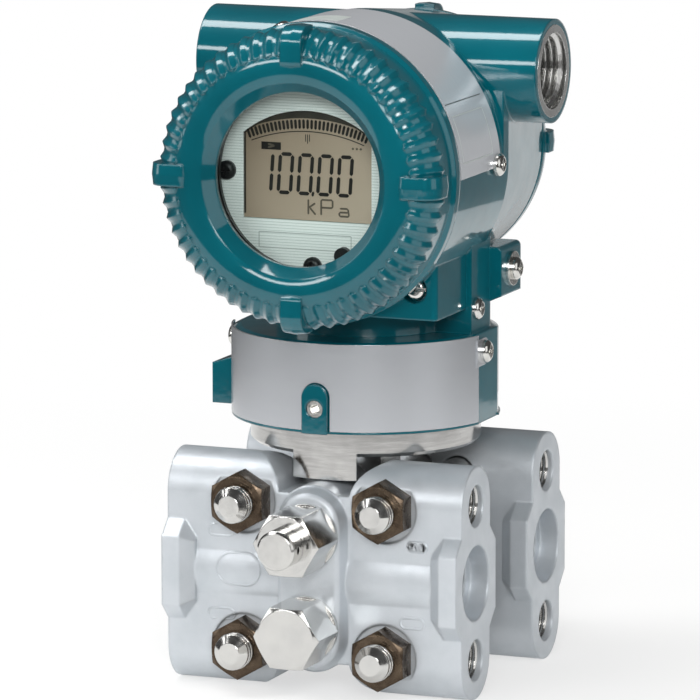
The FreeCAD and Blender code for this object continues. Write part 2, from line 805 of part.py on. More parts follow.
def make_ring(label, role, centre_line, level, section):
    """O-ring of round section: centre-line radius and level are measured in the given plane."""
    body = new_body(label)
    offset = head if role == "XY_Plane" else None
    sketch = new_sketch(body, role, offset)
    circle(sketch, centre_line, level, section)
    revolve(body, sketch)
    return body


def make_sensor():
    """Sensor header in the top of the neck, with its ring of pins."""
    body = new_body("sensor_header")
    cup = new_sketch(body, "XY_Plane", spigot_top + " - sensor_height")
    circle(cup, "0", "0", "sensor_radius")
    pad(body, cup, "sensor_height - sensor_recess")
    pin_sketch = new_sketch(body, "XY_Plane", spigot_top + " - sensor_recess - sensor_pin_root")
    circle(pin_sketch, "sensor_pin_circle", "0", "sensor_pin_radius")
    pin = pad(body, pin_sketch, "sensor_pin_length")
    pattern = body.newObject("PartDesign::PolarPattern", "sensor_pins_ring")
    pattern.Originals = [pin]
    pattern.Axis = (plane(body, "Z_Axis"), [""])
    pattern.Angle = 360.0
    pattern.setExpression("Occurrences", words("sensor_pins"))
    finish(body, pattern)
    return body


# --- head casting -----------------------------------------------------------------------

def make_housing():
    """Head casting: skirt, pedestal blocks, barrel with two rooms, and conduit tube."""
    body = new_body("housing_casting")
    skirt = new_sketch(body, "XZ_Plane")
    lip_top = skirt_base + " + lip_height"
    outline(skirt, [("0", skirt_base), ("lip_radius", skirt_base), ("lip_radius", lip_top),
                    ("skirt_radius", lip_top), ("skirt_radius", skirt_top + " - shoulder_drop"),
                    ("skirt_radius - shoulder_run", skirt_top), ("0", skirt_top)])
    revolve(body, skirt)
    stalk = new_sketch(body, "XY_Plane", skirt_top + " - shoulder_drop")
    circle(stalk, "0", "0", "stalk_radius")
    pad(body, stalk, "head_rise + shoulder_drop - stalk_top_drop")
    column = new_sketch(body, "XY_Plane", skirt_top + " - shoulder_drop")
    box_outline(column, "column_left", "column_right", "-column_front", "column_back")
    pad(body, column, "column_top + shoulder_drop")
    block = new_sketch(body, "XY_Plane", skirt_top + " + zero_block_lift")
    rounded_box(block, "zero_block_left", "zero_block_right", "-zero_block_front", "column_back",
                "cast_corner")
    pad(body, block, "column_top - zero_block_lift")
    earth = new_sketch(body, "XZ_Plane", "-(column_back - cut_margin)")
    low, high = skirt_top + " + earth_boss_low", skirt_top + " + earth_boss_high"
    outline(earth, [("column_left", low + " - earth_boss_drop"),
                    ("column_right", low + " - earth_boss_drop / 2"),
                    ("earth_boss_right", low), ("earth_boss_right", high + " - cast_corner"),
                    ("earth_boss_right - cast_corner", high, "cast_corner"), ("column_left", high)])
    pad(body, earth, "earth_boss_back - column_back + cut_margin", back=True)
    lug = new_sketch(body, "XZ_Plane")
    root, high = "-spigot_radius - skirt_wall_in", skirt_base + " + left_lug_height"
    outline(lug, [("-left_lug_out", lip_top), (root, lip_top), (root, high + " + left_lug_rise"),
                  ("-skirt_radius", high + " + left_lug_rise"), ("-left_lug_out", high)])
    pad(body, lug, "left_lug_width", both=True)
    tab = new_sketch(body, "XZ_Plane", "spigot_radius + skirt_wall_in")
    half, spring = "tab_width / 2", "%s + tab_height - tab_width / 2" % skirt_base
    outline(tab, [("-" + half, skirt_base), (half, skirt_base), (half, spring),
                  ("0", spring + " + tab_width / 2", half), ("-" + half, spring, half)])
    pad(body, tab, "lip_radius + tab_proud - spigot_radius - skirt_wall_in")
    barrel = new_sketch(body, "XY_Plane", head)
    outline(barrel, [("0", "-" + spigot_front), ("front_spigot_radius - spigot_bevel", "-" + spigot_front),
                     ("front_spigot_radius", "-%s + spigot_bevel" % spigot_front),
                     ("front_spigot_radius", "-barrel_front"),
                     ("barrel_radius - barrel_bevel", "-barrel_front"),
                     ("barrel_radius", "-barrel_front + barrel_bevel"),
                     ("barrel_radius", "barrel_straight"), ("barrel_rear_radius", "barrel_back"),
                     ("0", "barrel_back")])
    revolve(body, barrel)
    tube = new_sketch(body, "YZ_Plane")
    circle(tube, "tube_back", tube_height, "tube_radius")
    pad(body, tube, "tube_length", both=True)
    saddle = new_sketch(body, "XY_Plane", head)
    outline(saddle, [("-barrel_radius", "-saddle_front"), ("barrel_radius", "-saddle_front"),
                     ("barrel_radius", "barrel_straight"), ("barrel_rear_radius", "barrel_back"),
                     ("-barrel_rear_radius", "barrel_back"), ("-barrel_radius", "barrel_straight")])
    pad(body, saddle, "tube_rise")
    pad_right_flat(body)
    cut_housing(body)
    return body


def pad_right_flat(body):
    """Squares the right side of the skirt, where the band's end is screwed down."""
    block = new_sketch(body, "XY_Plane", skirt_base)
    box_outline(block, "spigot_radius + skirt_wall_in", "skirt_flat", "-skirt_flat_half", "skirt_flat_half")
    pad(body, block, "skirt_height")
    trim = new_sketch(body, "XY_Plane", skirt_base + " - cut_margin")
    box_outline(trim, "skirt_flat", "skirt_radius + skirt_wall_in", "-skirt_flat_half", "skirt_flat_half")
    pocket(body, trim, "skirt_height + cut_margin", back=True)


def cut_housing(body):
    rooms = new_sketch(body, "XY_Plane", head)
    box_outline(rooms, "0", "front_room_radius", "-%s - cut_margin" % spigot_front, "-front_room_floor")
    groove(body, rooms)
    rear = new_sketch(body, "XY_Plane", head)
    outline(rear, [("0", "rear_room_floor"), ("rear_room_radius", "rear_room_floor"),
                   ("rear_room_radius", "barrel_back - rear_thread_depth"),
                   ("rear_thread_radius", "barrel_back - rear_thread_depth"),
                   ("rear_thread_radius", "barrel_back + cut_margin"), ("0", "barrel_back + cut_margin")])
    groove(body, rear)
    neck = new_sketch(body, "XZ_Plane")
    box_outline(neck, "0", "spigot_radius + swivel_gap", skirt_base + " - cut_margin",
                spigot_top + " + spigot_end_gap")
    groove(body, neck)
    chamber = new_sketch(body, "XZ_Plane")
    box_outline(chamber, "0", "sensor_radius + chamber_gap", spigot_top, spigot_top + " + cable_chamber")
    groove(body, chamber)
    way = new_sketch(body, "XY_Plane", spigot_top + " + spigot_end_gap + cut_margin")
    circle(way, "0", "-front_room_floor - cable_way_radius", "cable_way_radius")
    rise = "%s - %s - spigot_end_gap - cut_margin - front_room_radius / 2" % (head, spigot_top)
    pocket(body, way, rise, back=True)
    wall = new_sketch(body, "XZ_Plane", "front_room_floor + cut_margin")
    circle(wall, "0", head, "feedthrough_radius + thread_gap")
    pocket(body, wall, "front_room_floor + rear_room_floor + 2 * cut_margin")
    conduit = new_sketch(body, "YZ_Plane")
    circle(conduit, "tube_back", tube_height, "conduit_way_radius")
    pocket(body, conduit, "tube_length + 2 * cut_margin", both=True)
    for side in (1, -1):
        entry = new_sketch(body, "YZ_Plane", "%d * tube_length / 2" % side)
        circle(entry, "tube_back", tube_height, "conduit_radius")
        pocket(body, entry, "conduit_depth", back=side < 0)
    for cut in (set_screw_hole, zero_screw_hole):
        cut(body)


def set_screw_hole(body):
    hole = new_sketch(body, "XZ_Plane", "lip_radius + tab_proud + cut_margin")
    circle(hole, "0", skirt_base + " + set_screw_rise", "set_screw_radius + thread_gap")
    pocket(body, hole, "lip_radius + tab_proud + cut_margin - spigot_radius")


def zero_screw_hole(body):
    x, z = zero_screw_spot()
    hole = new_sketch(body, "XZ_Plane", "zero_block_front")
    circle(hole, x, z, "screw_head_radius + zero_hole_gap")
    pocket(body, hole, "zero_recess")
    stem = new_sketch(body, "XZ_Plane", "zero_block_front")
    circle(stem, x, z, "screw_head_radius / 2 + screw_clearance")
    pocket(body, stem, "zero_recess + zero_stem + zero_end_gap")


def zero_screw_spot():
    x = "(zero_block_left + zero_block_right) / 2 + zero_side"
    return x, skirt_top + " + zero_block_lift + zero_rise"


# --- small turned pieces ----------------------------------------------------------------

def make_screw(label, head_radius, head_height, shank_radius, length, slots=1):
    """Pan-head screw along +Z with the underside of its head at the local origin."""
    body = new_body(label)
    section = new_sketch(body, "XZ_Plane")
    outline(section, [("0", "-" + length), (shank_radius, "-" + length), (shank_radius, "0"),
                      (head_radius, "0"), (head_radius, "%s * head_edge" % head_height),
                      ("%s * head_crown" % head_radius, head_height, "%s * crown_round" % head_radius),
                      ("0", head_height)])
    revolve(body, section)
    for turn in range(slots):
        slot = new_sketch(body, "XY_Plane", head_height)
        wide = "%s * cross_reach" % head_radius if slots == 2 else "(%s + cut_margin)" % head_radius
        thin = "%s * slot_half" % head_radius
        across, along = (wide, thin) if turn == 0 else (thin, wide)
        box_outline(slot, "-" + across, across, "-" + along, along)
        pocket(body, slot, "%s * slot_depth" % head_height)
    return body


def make_set_screw():
    """Headless screw with a hexagon socket that locks the head on the neck."""
    body = new_body("swivel_set_screw")
    front = "(lip_radius + tab_proud - set_screw_inset)"
    height = skirt_base + " + set_screw_rise"
    rod = new_sketch(body, "XZ_Plane", front)
    circle(rod, "0", height, "set_screw_radius")
    pad(body, rod, "%s - spigot_radius - set_screw_gap" % front, back=True)
    socket = new_sketch(body, "XZ_Plane", front)
    polygon(socket, "0", height, "set_screw_radius")
    pocket(body, socket, "set_socket_depth")
    return body


def make_conduit_plug():
    """Blanking plug in the left conduit entry, with a hexagon socket."""
    body = new_body("conduit_plug")
    end = "-(tube_length / 2 - conduit_plug_inset)"
    rod = new_sketch(body, "YZ_Plane", end)
    circle(rod, "tube_back", tube_height, "conduit_radius - thread_gap")
    pad(body, rod, "conduit_depth - conduit_plug_inset - conduit_plug_gap")
    socket = new_sketch(body, "YZ_Plane", end)
    polygon(socket, "tube_back", tube_height, "plug_socket_flats")
    pocket(body, socket, "plug_socket_depth", back=True)
    return body


# --- bent plates ------------------------------------------------------------------------

def sector(inner, thickness, low, high, first, last):
    """Part of a thin tube round +Z between two heights and two angles."""
    whole = Part.makeCylinder(inner + thickness, high - low, V(0, 0, low), V(0, 0, 1), last - first)
    whole = whole.cut(Part.makeCylinder(inner, high - low, V(0, 0, low), V(0, 0, 1), last - first))
    whole.rotate(V(0, 0, 0), V(0, 0, 1), first)
    return whole


def make_band():
    """Stainless tag band bent round the skirt, notched for the front tab, with a screwed ear at each end."""
    feature = doc.addObject("Part::Feature", "tag_band")
    feature.Label = "tag_band"
    inner = worth("skirt_radius + swivel_gap")
    thick = worth("band_thickness")
    low = worth(band_base)
    high = low + worth("band_height")
    first, last = worth("band_left_end"), worth("band_right_end")
    band = sector(inner, thick, low, high, first, last)
    ear = worth("ear_radius")
    rise = worth(skirt_base + " + ear_rise")
    left_reach = math.degrees(2 * ear / inner)
    band = band.fuse(sector(inner, thick, rise - ear, rise + ear, first - left_reach, first + 0.5))
    near, middle = worth("-(skirt_flat_half + ear_overlap)"), worth("-(skirt_flat_half - ear_radius)")
    flat = worth("skirt_flat + swivel_gap")
    tongue = Part.makeBox(thick, middle - near, 2 * ear, V(flat, near, rise - ear))
    band = band.fuse(tongue.fuse(Part.makeCylinder(ear, thick, V(flat, middle, rise), V(1, 0, 0))))
    for spot, outward in band_screw_spots():
        band = band.cut(screw_hole(spot, outward))
    gap = worth("tab_width / 2 + notch_gap")
    spring = worth(skirt_base + " + tab_height - tab_width / 2")
    notch = Part.makeBox(2 * gap, 4 * thick, spring - low, V(-gap, -inner - 2 * thick, low))
    crown = Part.makeCylinder(gap, 4 * thick, V(0, -inner - 2 * thick, spring), V(0, 1, 0))
    feature.Shape = band.cut(notch.fuse(crown)).removeSplitter()
    feature.Placement = FreeCAD.Placement()
    return feature


def screw_hole(spot, outward):
    """Clearance hole through a thin plate, centred on a screw's seat."""
    centre = V(*[worth(item) for item in spot])
    reach = worth("screw_head_radius")
    hole_radius = worth("screw_head_radius / 2 + plate_hole_gap")
    return Part.makeCylinder(hole_radius, 2 * reach, centre - outward * reach, outward)


def make_nameplate():
    """Stainless nameplate bent over the front half of the barrel."""
    feature = doc.addObject("Part::Feature", "nameplate")
    feature.Label = "nameplate"
    inner = worth("barrel_radius + swivel_gap")
    thick = worth("plate_thickness")
    low, high = worth("plate_back"), worth("plate_front")
    plate = sector(inner, thick, low, high, worth("plate_low_angle"), worth("plate_high_angle"))
    plate.Placement = FreeCAD.Placement(V(0, 0, worth(head)), FreeCAD.Rotation(V(1, 0, 0), 90))
    for spot, outward in plate_screw_spots():
        plate = plate.cut(screw_hole(spot, outward))
    feature.Shape = plate
    feature.Placement = FreeCAD.Placement()
    return feature


# --- covers -----------------------------------------------------------------------------

def make_indicator_cover():
    """Screwed cover with a window, a ring of grip ribs on its bevel and four wrench lugs."""
    body = new_body("indicator_cover")
    bore = "front_spigot_radius + cover_gap"
    glass_bore = "(glass_radius + glass_gap)"
    lip = "-(cover_front - window_drop - window_lip)"
    pocket_back = lip + " + glass_gasket + glass_thickness + retainer_thickness"
    inner_face = "-(%s + cover_end_gap)" % spigot_front
    seal = "-(%s + cover_seal_back)" % cover_rear
    seal_in, seal_out = seal + " + ring_groove_half", seal + " - ring_groove_half"
    section = new_sketch(body, "XY_Plane", head)
    outline(section, [(bore, "-" + cover_rear), ("rim_radius", "-" + cover_rear),
                      ("rim_radius", "-(%s + rim_width)" % cover_rear),
                      ("cover_radius", "-(%s + rim_width + rim_slope)" % cover_rear),
                      ("cover_radius", "-(cover_front - cover_bevel)"),
                      ("cover_radius - cover_bevel", "-cover_front", "-1.25 * cover_bevel"),
                      ("face_inner_radius", "-cover_front", "-face_roll"),
                      ("window_radius", "-(cover_front - window_drop)"),
                      ("window_radius", lip), (glass_bore, lip), (glass_bore, pocket_back),
                      (glass_bore + " + collar_wall", pocket_back),
                      (glass_bore + " + collar_wall", inner_face),
                      (bore, inner_face), (bore, seal_out), (bore + " + ring_groove_depth", seal_out),
                      (bore + " + ring_groove_depth", seal_in), (bore, seal_in)])
    revolve(body, section)
    rib_sketch = new_sketch(body, "XY_Plane", head)
    foot = "-(cover_front - cover_bevel - rib_run)"
    bend, edge = "-(cover_front - cover_bevel)", "cover_radius - cover_bevel"
    outline(rib_sketch, [("cover_radius - rib_root", foot), ("cover_radius + rib_height", foot),
                         ("cover_radius + rib_height", bend),
                         (edge, "-(cover_front + rib_height)", "-1.25 * (cover_bevel + rib_height)"),
                         (edge + " - rib_root", "-(cover_front - rib_root)")])
    rib = pad(body, rib_sketch, "rib_width", both=True, draft="-rib_draft")
    spread(body, rib, rib_sketch, "rib_count")
    lug_sketch = new_sketch(body, "XY_Plane", head)
    front = "-(cover_front + lug_proud)"
    outline(lug_sketch, [("lug_inner", "-(cover_front - lug_root)"), ("lug_inner", front + " + lug_proud"),
                         ("lug_inner + lug_proud", front, "lug_proud"), ("lug_outer - lug_round", front),
                         ("lug_outer", front + " + lug_round", "lug_round"),
                         ("lug_outer", "-(cover_front - lug_reach)"),
                         ("lug_outer - lug_root", "-(cover_front - lug_reach)")])
    lug = pad(body, lug_sketch, "lug_width", both=True, draft="-lug_draft")
    spread(body, lug, lug_sketch, "cover_lugs")
    return body


def glass_levels():
    """Front faces of the gasket, glass and retainer, from the window's lip inwards."""
    lip = "-(cover_front - window_drop - window_lip)"
    return lip, lip + " + glass_gasket", lip + " + glass_gasket + glass_thickness"


def make_cover_disc(label, level, thickness, outer, inner=None):
    """Flat disc or ring on the head axis whose front face is at the given level."""
    body = new_body(label)
    section = new_sketch(body, "XY_Plane", head)
    box_outline(section, inner or "0", outer, level, "%s + %s" % (level, thickness))
    revolve(body, section)
    return body


def make_terminal_cover():
    """Screwed cap over the terminal compartment, with four lugs on its bevel."""
    body = new_body("terminal_cover")
    start = "(barrel_back + rear_cover_gap)"
    spigot = "rear_thread_radius - cover_gap"
    inner = spigot + " - rear_spigot_wall"
    end = "barrel_back - rear_thread_depth + cover_end_gap"
    floor = "rear_cover_back - rear_cover_wall"
    seal = "barrel_back - rear_seal_in"
    near, far = seal + " - ring_groove_half", seal + " + ring_groove_half"
    section = new_sketch(body, "XY_Plane", head)
    outline(section, [("0", "rear_cover_back"), ("0", floor), (inner, floor), (inner, end), (spigot, end),
                      (spigot, near), (spigot + " - ring_groove_depth", near),
                      (spigot + " - ring_groove_depth", far),
                      (spigot, far), (spigot, start), ("barrel_rear_radius", start),
                      ("barrel_rear_radius", "rear_cover_back - rear_cover_round"),
                      ("barrel_rear_radius - rear_cover_round", "rear_cover_back", "rear_cover_round")])
    revolve(body, section)
    lug_sketch = new_sketch(body, "XY_Plane", head)
    top = "rear_cover_back - rear_lug_drop"
    outline(lug_sketch, [("rear_lug_outer - rear_lug_length", floor + " + lug_root"),
                         ("rear_lug_outer - lug_root", start + " + lug_root"),
                         ("rear_lug_outer", start + " + lug_root"), ("rear_lug_outer", top + " - lug_round"),
                         ("rear_lug_outer - lug_round", top, "lug_round"),
                         ("rear_lug_outer - rear_lug_length", top)])
    lug = pad(body, lug_sketch, "rear_lug_width", both=True, draft="-lug_draft")
    spread(body, lug, lug_sketch, "cover_lugs")
    return body


# --- display and electronics ------------------------------------------------------------

def ring_spots(circle_radius, angles):
    for angle in angles:
        turn = math.radians(angle)
        x = "%s * %.6f" % (circle_radius, math.cos(turn))
        yield x, "%s + %s * %.6f" % (head, circle_radius, math.sin(turn))


display_angles = (0, 90, 180, 270)

# left edge, lower edge, width and height of each chip, from the board's centre
board_chips = ((-13, -9, 11, 11), (3, -7, 9, 8), (-9, 6, 16, 6), (-3, -17, 8, 5))


def lcd_outline(sketch, grow):
    """Window of the display: straight sides and sill, arched head."""
    left, right = "-(glass_left + %s)" % grow, "glass_right + %s" % grow
    low, high = "%s - glass_low - %s" % (head, grow), "%s + glass_high + %s" % (head, grow)
    crown = "(%s + glass_arc_rise)" % high
    middle = "((glass_right - glass_left) / 2)"
    half = "((glass_left + glass_right) / 2 + %s)" % grow
    radius = "((%s ^ 2 + glass_arc_rise ^ 2) / (2 * glass_arc_rise))" % half
    outline(sketch, [(left, low), (right, low), (right, high), (middle, crown, radius), (left, high, radius)])


def make_bezel():
    """Printed metal face plate of the display, with its window and screw and button holes."""
    body = new_body("display_bezel")
    disc = new_sketch(body, "XZ_Plane", "bezel_front")
    circle(disc, "0", head, "bezel_radius")
    pad(body, disc, "bezel_thickness", back=True)
    window = new_sketch(body, "XZ_Plane", "bezel_front")
    lcd_outline(window, "lcd_gap")
    pocket(body, window, "bezel_thickness + cut_margin")
    holes = new_sketch(body, "XZ_Plane", "bezel_front")
    for x, z in ring_spots("display_screw_circle", display_angles):
        circle(holes, x, z, "display_screw_radius / 2 + bezel_hole_gap")
    for x, z in ring_spots("button_circle", (worth("button_angle"),)):
        circle(holes, x, z, "button_radius + button_gap")
    pocket(body, holes, "bezel_thickness + cut_margin")
    return body


def make_case():
    """Moulded cup behind the bezel that carries the display glass, button and screws."""
    body = new_body("display_case")
    front = "bezel_front - bezel_thickness"
    disc = new_sketch(body, "XZ_Plane", front)
    circle(disc, "0", head, "case_radius")
    pad(body, disc, "case_depth", back=True)
    window = new_sketch(body, "XZ_Plane", front)
    lcd_outline(window, "lcd_gap")
    pocket(body, window, "lcd_thickness - bezel_thickness + lcd_sink")
    holes = new_sketch(body, "XZ_Plane", front)
    for x, z in ring_spots("display_screw_circle", display_angles):
        circle(holes, x, z, "display_screw_radius / 2 + display_hole_gap")
    pocket(body, holes, "display_hole_depth")
    button = new_sketch(body, "XZ_Plane", front)
    for x, z in ring_spots("button_circle", (worth("button_angle"),)):
        circle(button, x, z, "button_radius + button_gap")
    pocket(body, button, "button_length + button_end_gap + button_travel")
    back = new_sketch(body, "XZ_Plane", front + " - case_depth")
    circle(back, "0", head, "case_radius - case_wall")
    pocket(body, back, "case_depth - lcd_thickness - case_floor", back=True)
    return body


def make_lcd():
    body = new_body("lcd_panel")
    glass = new_sketch(body, "XZ_Plane", "bezel_front - lcd_sink")
    lcd_outline(glass, "0")
    pad(body, glass, "lcd_thickness", back=True)
    return body


def make_button():
    body = new_body("range_button")
    rod = new_sketch(body, "XZ_Plane", "bezel_front + button_proud")
    for x, z in ring_spots("button_circle", (worth("button_angle"),)):
        circle(rod, x, z, "button_radius")
    pad(body, rod, "button_proud + bezel_thickness + button_length", back=True)
    return body


def make_board(label, level, chips):
    """Round circuit board with its larger chips soldered on the front side."""
    body = new_body(label)
    disc = new_sketch(body, "XZ_Plane", level)
    circle(disc, "0", head, "board_radius")
    pad(body, disc, "board_thickness", back=True)
    holes = new_sketch(body, "XZ_Plane", level)
    for x, z in ring_spots("display_screw_circle", display_angles):
        circle(holes, x, z, "board_hole_radius")
    pocket(body, holes, "board_thickness + cut_margin")
    for x, z, wide, tall in chips:
        chip = new_sketch(body, "XZ_Plane", level)
        box_outline(chip, "%s" % x, "%s" % (x + wide), "%s + %s" % (head, z), "%s + %s" % (head, z + tall))
        pad(body, chip, "chip_height")
    return body


def make_standoffs(label, level, length):
    """Ring of hollow spacers that carry a board."""
    members = []
    for number, (x, z) in enumerate(ring_spots("display_screw_circle", display_angles), start=1):
        body = new_body("%s_%d" % (label, number))
        tube = new_sketch(body, "XZ_Plane", level)
        circle(tube, x, z, "standoff_radius")
        circle(tube, x, z, "board_hole_radius")
        pad(body, tube, length, back=True)
        members.append(body)
    return group(label, members)


def make_terminal_block():
    """Moulded terminal block with barriers between its terminals."""
    body = new_body("terminal_block")
    base = new_sketch(body, "XZ_Plane", "-rear_room_floor")
    box_outline(base, "-block_width / 2", "block_width / 2", head + " - block_low", head + " + block_high")
    pad(body, base, "block_depth", back=True)
    step = new_sketch(body, "XZ_Plane", "-(rear_room_floor + block_depth)")
    box_outline(step, "-block_width / 2", "block_width / 2", head + " - block_low",
                head + " - block_low + block_step_high")
    pocket(body, step, "block_step", back=True)
    for number in range(int(worth("terminal_count")) + 1):
        x = "(%d - terminal_count / 2) * terminal_pitch" % number
        wall = new_sketch(body, "XZ_Plane", "-(rear_room_floor + block_depth)")
        box_outline(wall, x + " - barrier_width / 2", x + " + barrier_width / 2",
                    head + " - block_low + block_step_high", head + " + block_high - barrier_drop")
        pad(body, wall, "barrier_height", back=True)
    holes = new_sketch(body, "XZ_Plane", "-(rear_room_floor + block_depth)")
    for x in terminal_spots():
        circle(holes, x, head, "terminal_hole_radius")
    pocket(body, holes, "terminal_hole_depth", back=True)
    return body


def terminal_spots():
    for number in range(int(worth("terminal_count"))):
        yield "(%d + 0.5 - terminal_count / 2) * terminal_pitch" % number


# --- where the small screws sit ---------------------------------------------------------

def round_skirt(radius, angle, z):
    """Spot on the skirt at an angle round the vertical axis, and its outward direction."""
    turn = "(%s) * 1 deg" % angle
    radians = math.radians(worth(angle))
    spot = ("%s * cos(%s)" % (radius, turn), "%s * sin(%s)" % (radius, turn), z)
    return spot, V(math.cos(radians), math.sin(radians), 0)


def round_barrel(radius, angle, along):
    """Spot on the barrel at an angle round the head axis, and its outward direction."""
    turn = "(%s) * 1 deg" % angle
    radians = math.radians(worth(angle))
    spot = ("%s * cos(%s)" % (radius, turn), "-(%s)" % along, "%s + %s * sin(%s)" % (head, radius, turn))
    return spot, V(math.cos(radians), 0, math.sin(radians))


def band_screw_spots():
    rise = skirt_base + " + ear_rise"
    ear = "ear_radius / skirt_radius * 180 / pi"
    yield ("skirt_flat + swivel_gap + band_thickness", "-(skirt_flat_half - ear_radius)", rise), V(1, 0, 0)
    yield round_skirt("(skirt_radius + swivel_gap + band_thickness)", "band_left_end - " + ear, rise)


def plate_screw_spots():
    for angle in ("plate_low_angle + plate_screw_inset", "plate_high_angle - plate_screw_inset"):
        yield round_barrel("(barrel_radius + swivel_gap + plate_thickness)", angle,
                           "plate_back + plate_screw_back")


def earth_screw_spot(lift="0"):
    return ("earth_boss_right + " + lift, "column_back + earth_screw_in",
            skirt_top + " + (earth_boss_low + earth_boss_high) / 2"), V(1, 0, 0)


def pedestal_screw_spot():
    return ("column_right", "pedestal_screw_back", skirt_top + " + pedestal_screw_rise"), V(1, 0, 0)


def inner_earth_spot():
    return ("0", "rear_room_floor", head + " - inner_earth_drop"), V(0, 1, 0)


def aim(thing, spot, direction):
    """Turns a piece's +Z towards a direction and binds its place to the sheet."""
    thing.Placement = FreeCAD.Placement(V(0, 0, 0), FreeCAD.Rotation(V(0, 0, 1), direction))
    for letter, expression in zip("xyz", spot):
        thing.setExpression("Placement.Base." + letter, words(expression))


def drill(spot, direction, depth):
    """Screw hole that starts outside the surface and runs inwards."""
    tool = doc.addObject("Part::Cylinder", "screw_hole")
    tool.setExpression("Radius", words("screw_head_radius / 2 + screw_clearance"))
    tool.setExpression("Height", words(depth + " + cut_margin"))
    start = ["%s + %.9f * cut_margin" % (item, step) for item, step in zip(spot, direction)]
    aim(tool, start, direction * -1)
    return tool


def drilled(label, body, tools):
    """The finished piece: a body with its screw holes cut."""
    cut = doc.addObject("Part::Cut", label)
    cut.Label = label
    cut.Base = body
    cut.Tool = group(label + "_drill", tools)
    return cut


def screws(label, spots, head_radius="screw_head_radius", length="screw_length", slots=2):
    members = []
    for number, (spot, direction) in enumerate(spots, start=1):
        screw = make_screw("%s_%d" % (label, number), head_radius, "screw_head_height",
                           head_radius + " / 2", length, slots)
        aim(screw, spot, direction)
        members.append(screw)
    if len(members) == 1:
        members[0].Label = label
        return members[0]
    return group(label, members)


def make_washer():
    body = new_body("earth_washer")
    ring = new_sketch(body, "XY_Plane")
    circle(ring, "0", "0", "earth_washer_radius")
    circle(ring, "0", "0", "screw_head_radius / 2 + screw_clearance")
    pad(body, ring, "earth_washer_thickness")
    aim(body, *earth_screw_spot())
    return body


def make_feedthrough():
    """Sealed plug that carries the wires through the wall between the two rooms."""
    body = new_body("feedthrough")
    plug = new_sketch(body, "XZ_Plane", "-rear_room_floor")
    circle(plug, "0", head, "feedthrough_radius")
    pad(body, plug, "rear_room_floor + front_room_floor")
    flange = new_sketch(body, "XZ_Plane", "front_room_floor")
    circle(flange, "0", head, "feedthrough_radius + feedthrough_flange")
    pad(body, flange, "feedthrough_rim")
    pins = new_sketch(body, "XZ_Plane", "front_room_floor + feedthrough_rim")
    for x, z in ring_spots("feedthrough_pins", range(0, 360, 60)):
        circle(pins, x, z, "sensor_pin_radius")
    pad(body, pins, "feedthrough_pin")
    return body


# --- assembly ---------------------------------------------------------------------------

nodes = []


def keep(*things):
    nodes.extend(things)


# pressure section
facing_back = V(0, 1, 0)
front_flange = make_flange()
gasket = make_gasket()
diaphragm = make_diaphragm()
keep(front_flange, mirrored(front_flange, "rear_flange", facing_back), make_capsule(), make_sensor())
keep(gasket, mirrored(gasket, "rear_capsule_gasket", facing_back))
keep(diaphragm, mirrored(diaphragm, "rear_diaphragm", facing_back))
keep(group("flange_bolts", [make_bolt(n, x, z) for n, (x, z) in enumerate(bolt_spots(), start=1)]))
keep(group("flange_nuts", [make_nut(n, x, z) for n, (x, z) in enumerate(bolt_spots(), start=1)]))
vent_plug = make_plug("front_vent_plug", "+", bored=True)
drain_plug = make_plug("front_drain_plug", "-", bored=False)
keep(group("vent_plugs", [vent_plug, mirrored(vent_plug, "rear_vent_plug", facing_back)]))
keep(group("drain_plugs", [drain_plug, mirrored(drain_plug, "rear_drain_plug", facing_back)]))
vent_screw = make_vent_screw("front_vent_screw")
keep(vent_screw, mirrored(vent_screw, "rear_vent_screw", facing_back))
keep(make_ring("neck_seal", "XZ_Plane", "spigot_radius - seal_section - seal_bite",
               "%s + neck_seal_height" % shoulder, "seal_section"))

# head casting and what is fixed to its outside
holes = [drill(spot, way, "screw_length") for spot, way in band_screw_spots()]
holes += [drill(spot, way, "screw_length") for spot, way in plate_screw_spots()]
holes += [drill(*pedestal_screw_spot(), "screw_length"), drill(*earth_screw_spot(), "screw_length"),
          drill(*inner_earth_spot(), "inner_earth_length")]
keep(drilled("housing", make_housing(), holes))
keep(make_set_screw(), make_conduit_plug(), make_band(), make_nameplate())
keep(screws("band_screws", band_screw_spots()), screws("nameplate_screws", plate_screw_spots()))
keep(screws("pedestal_screw", [pedestal_screw_spot()]), make_washer())
keep(screws("earth_screw", [earth_screw_spot("earth_washer_thickness")]))
zero_x, zero_z = zero_screw_spot()
zero_spot = (zero_x, "-(zero_block_front - zero_recess + zero_sink)", zero_z)
keep(screws("zero_adjust_screw", [(zero_spot, V(0, -1, 0))], length="zero_stem", slots=1))

# display and electronics
board_face = "(front_room_floor + board_standoff + board_thickness)"
case_back = "(bezel_front - bezel_thickness - case_depth)"
keep(make_bezel(), make_case(), make_lcd(), make_button())
screw_ring = ring_spots("display_screw_circle", display_angles)
display_spots = [((x, "-bezel_front", z), V(0, -1, 0)) for x, z in screw_ring]
keep(screws("display_screws", display_spots, "display_screw_radius", "display_screw_length"))
keep(make_board("cpu_board", board_face, board_chips))
keep(make_standoffs("board_standoffs", board_face + " - board_thickness", "board_standoff"))
keep(make_standoffs("display_standoffs", case_back, "%s - %s" % (case_back, board_face)))
keep(make_feedthrough())

# terminal compartment
keep(make_terminal_block())
terminal_face = "rear_room_floor + block_depth"
terminals = [((x, terminal_face, head), V(0, 1, 0)) for x in terminal_spots()]
keep(screws("terminal_screws", terminals, "terminal_radius", "terminal_length"))
keep(screws("internal_earth_screw", [inner_earth_spot()], length="(inner_earth_length - screw_tip_gap)"))

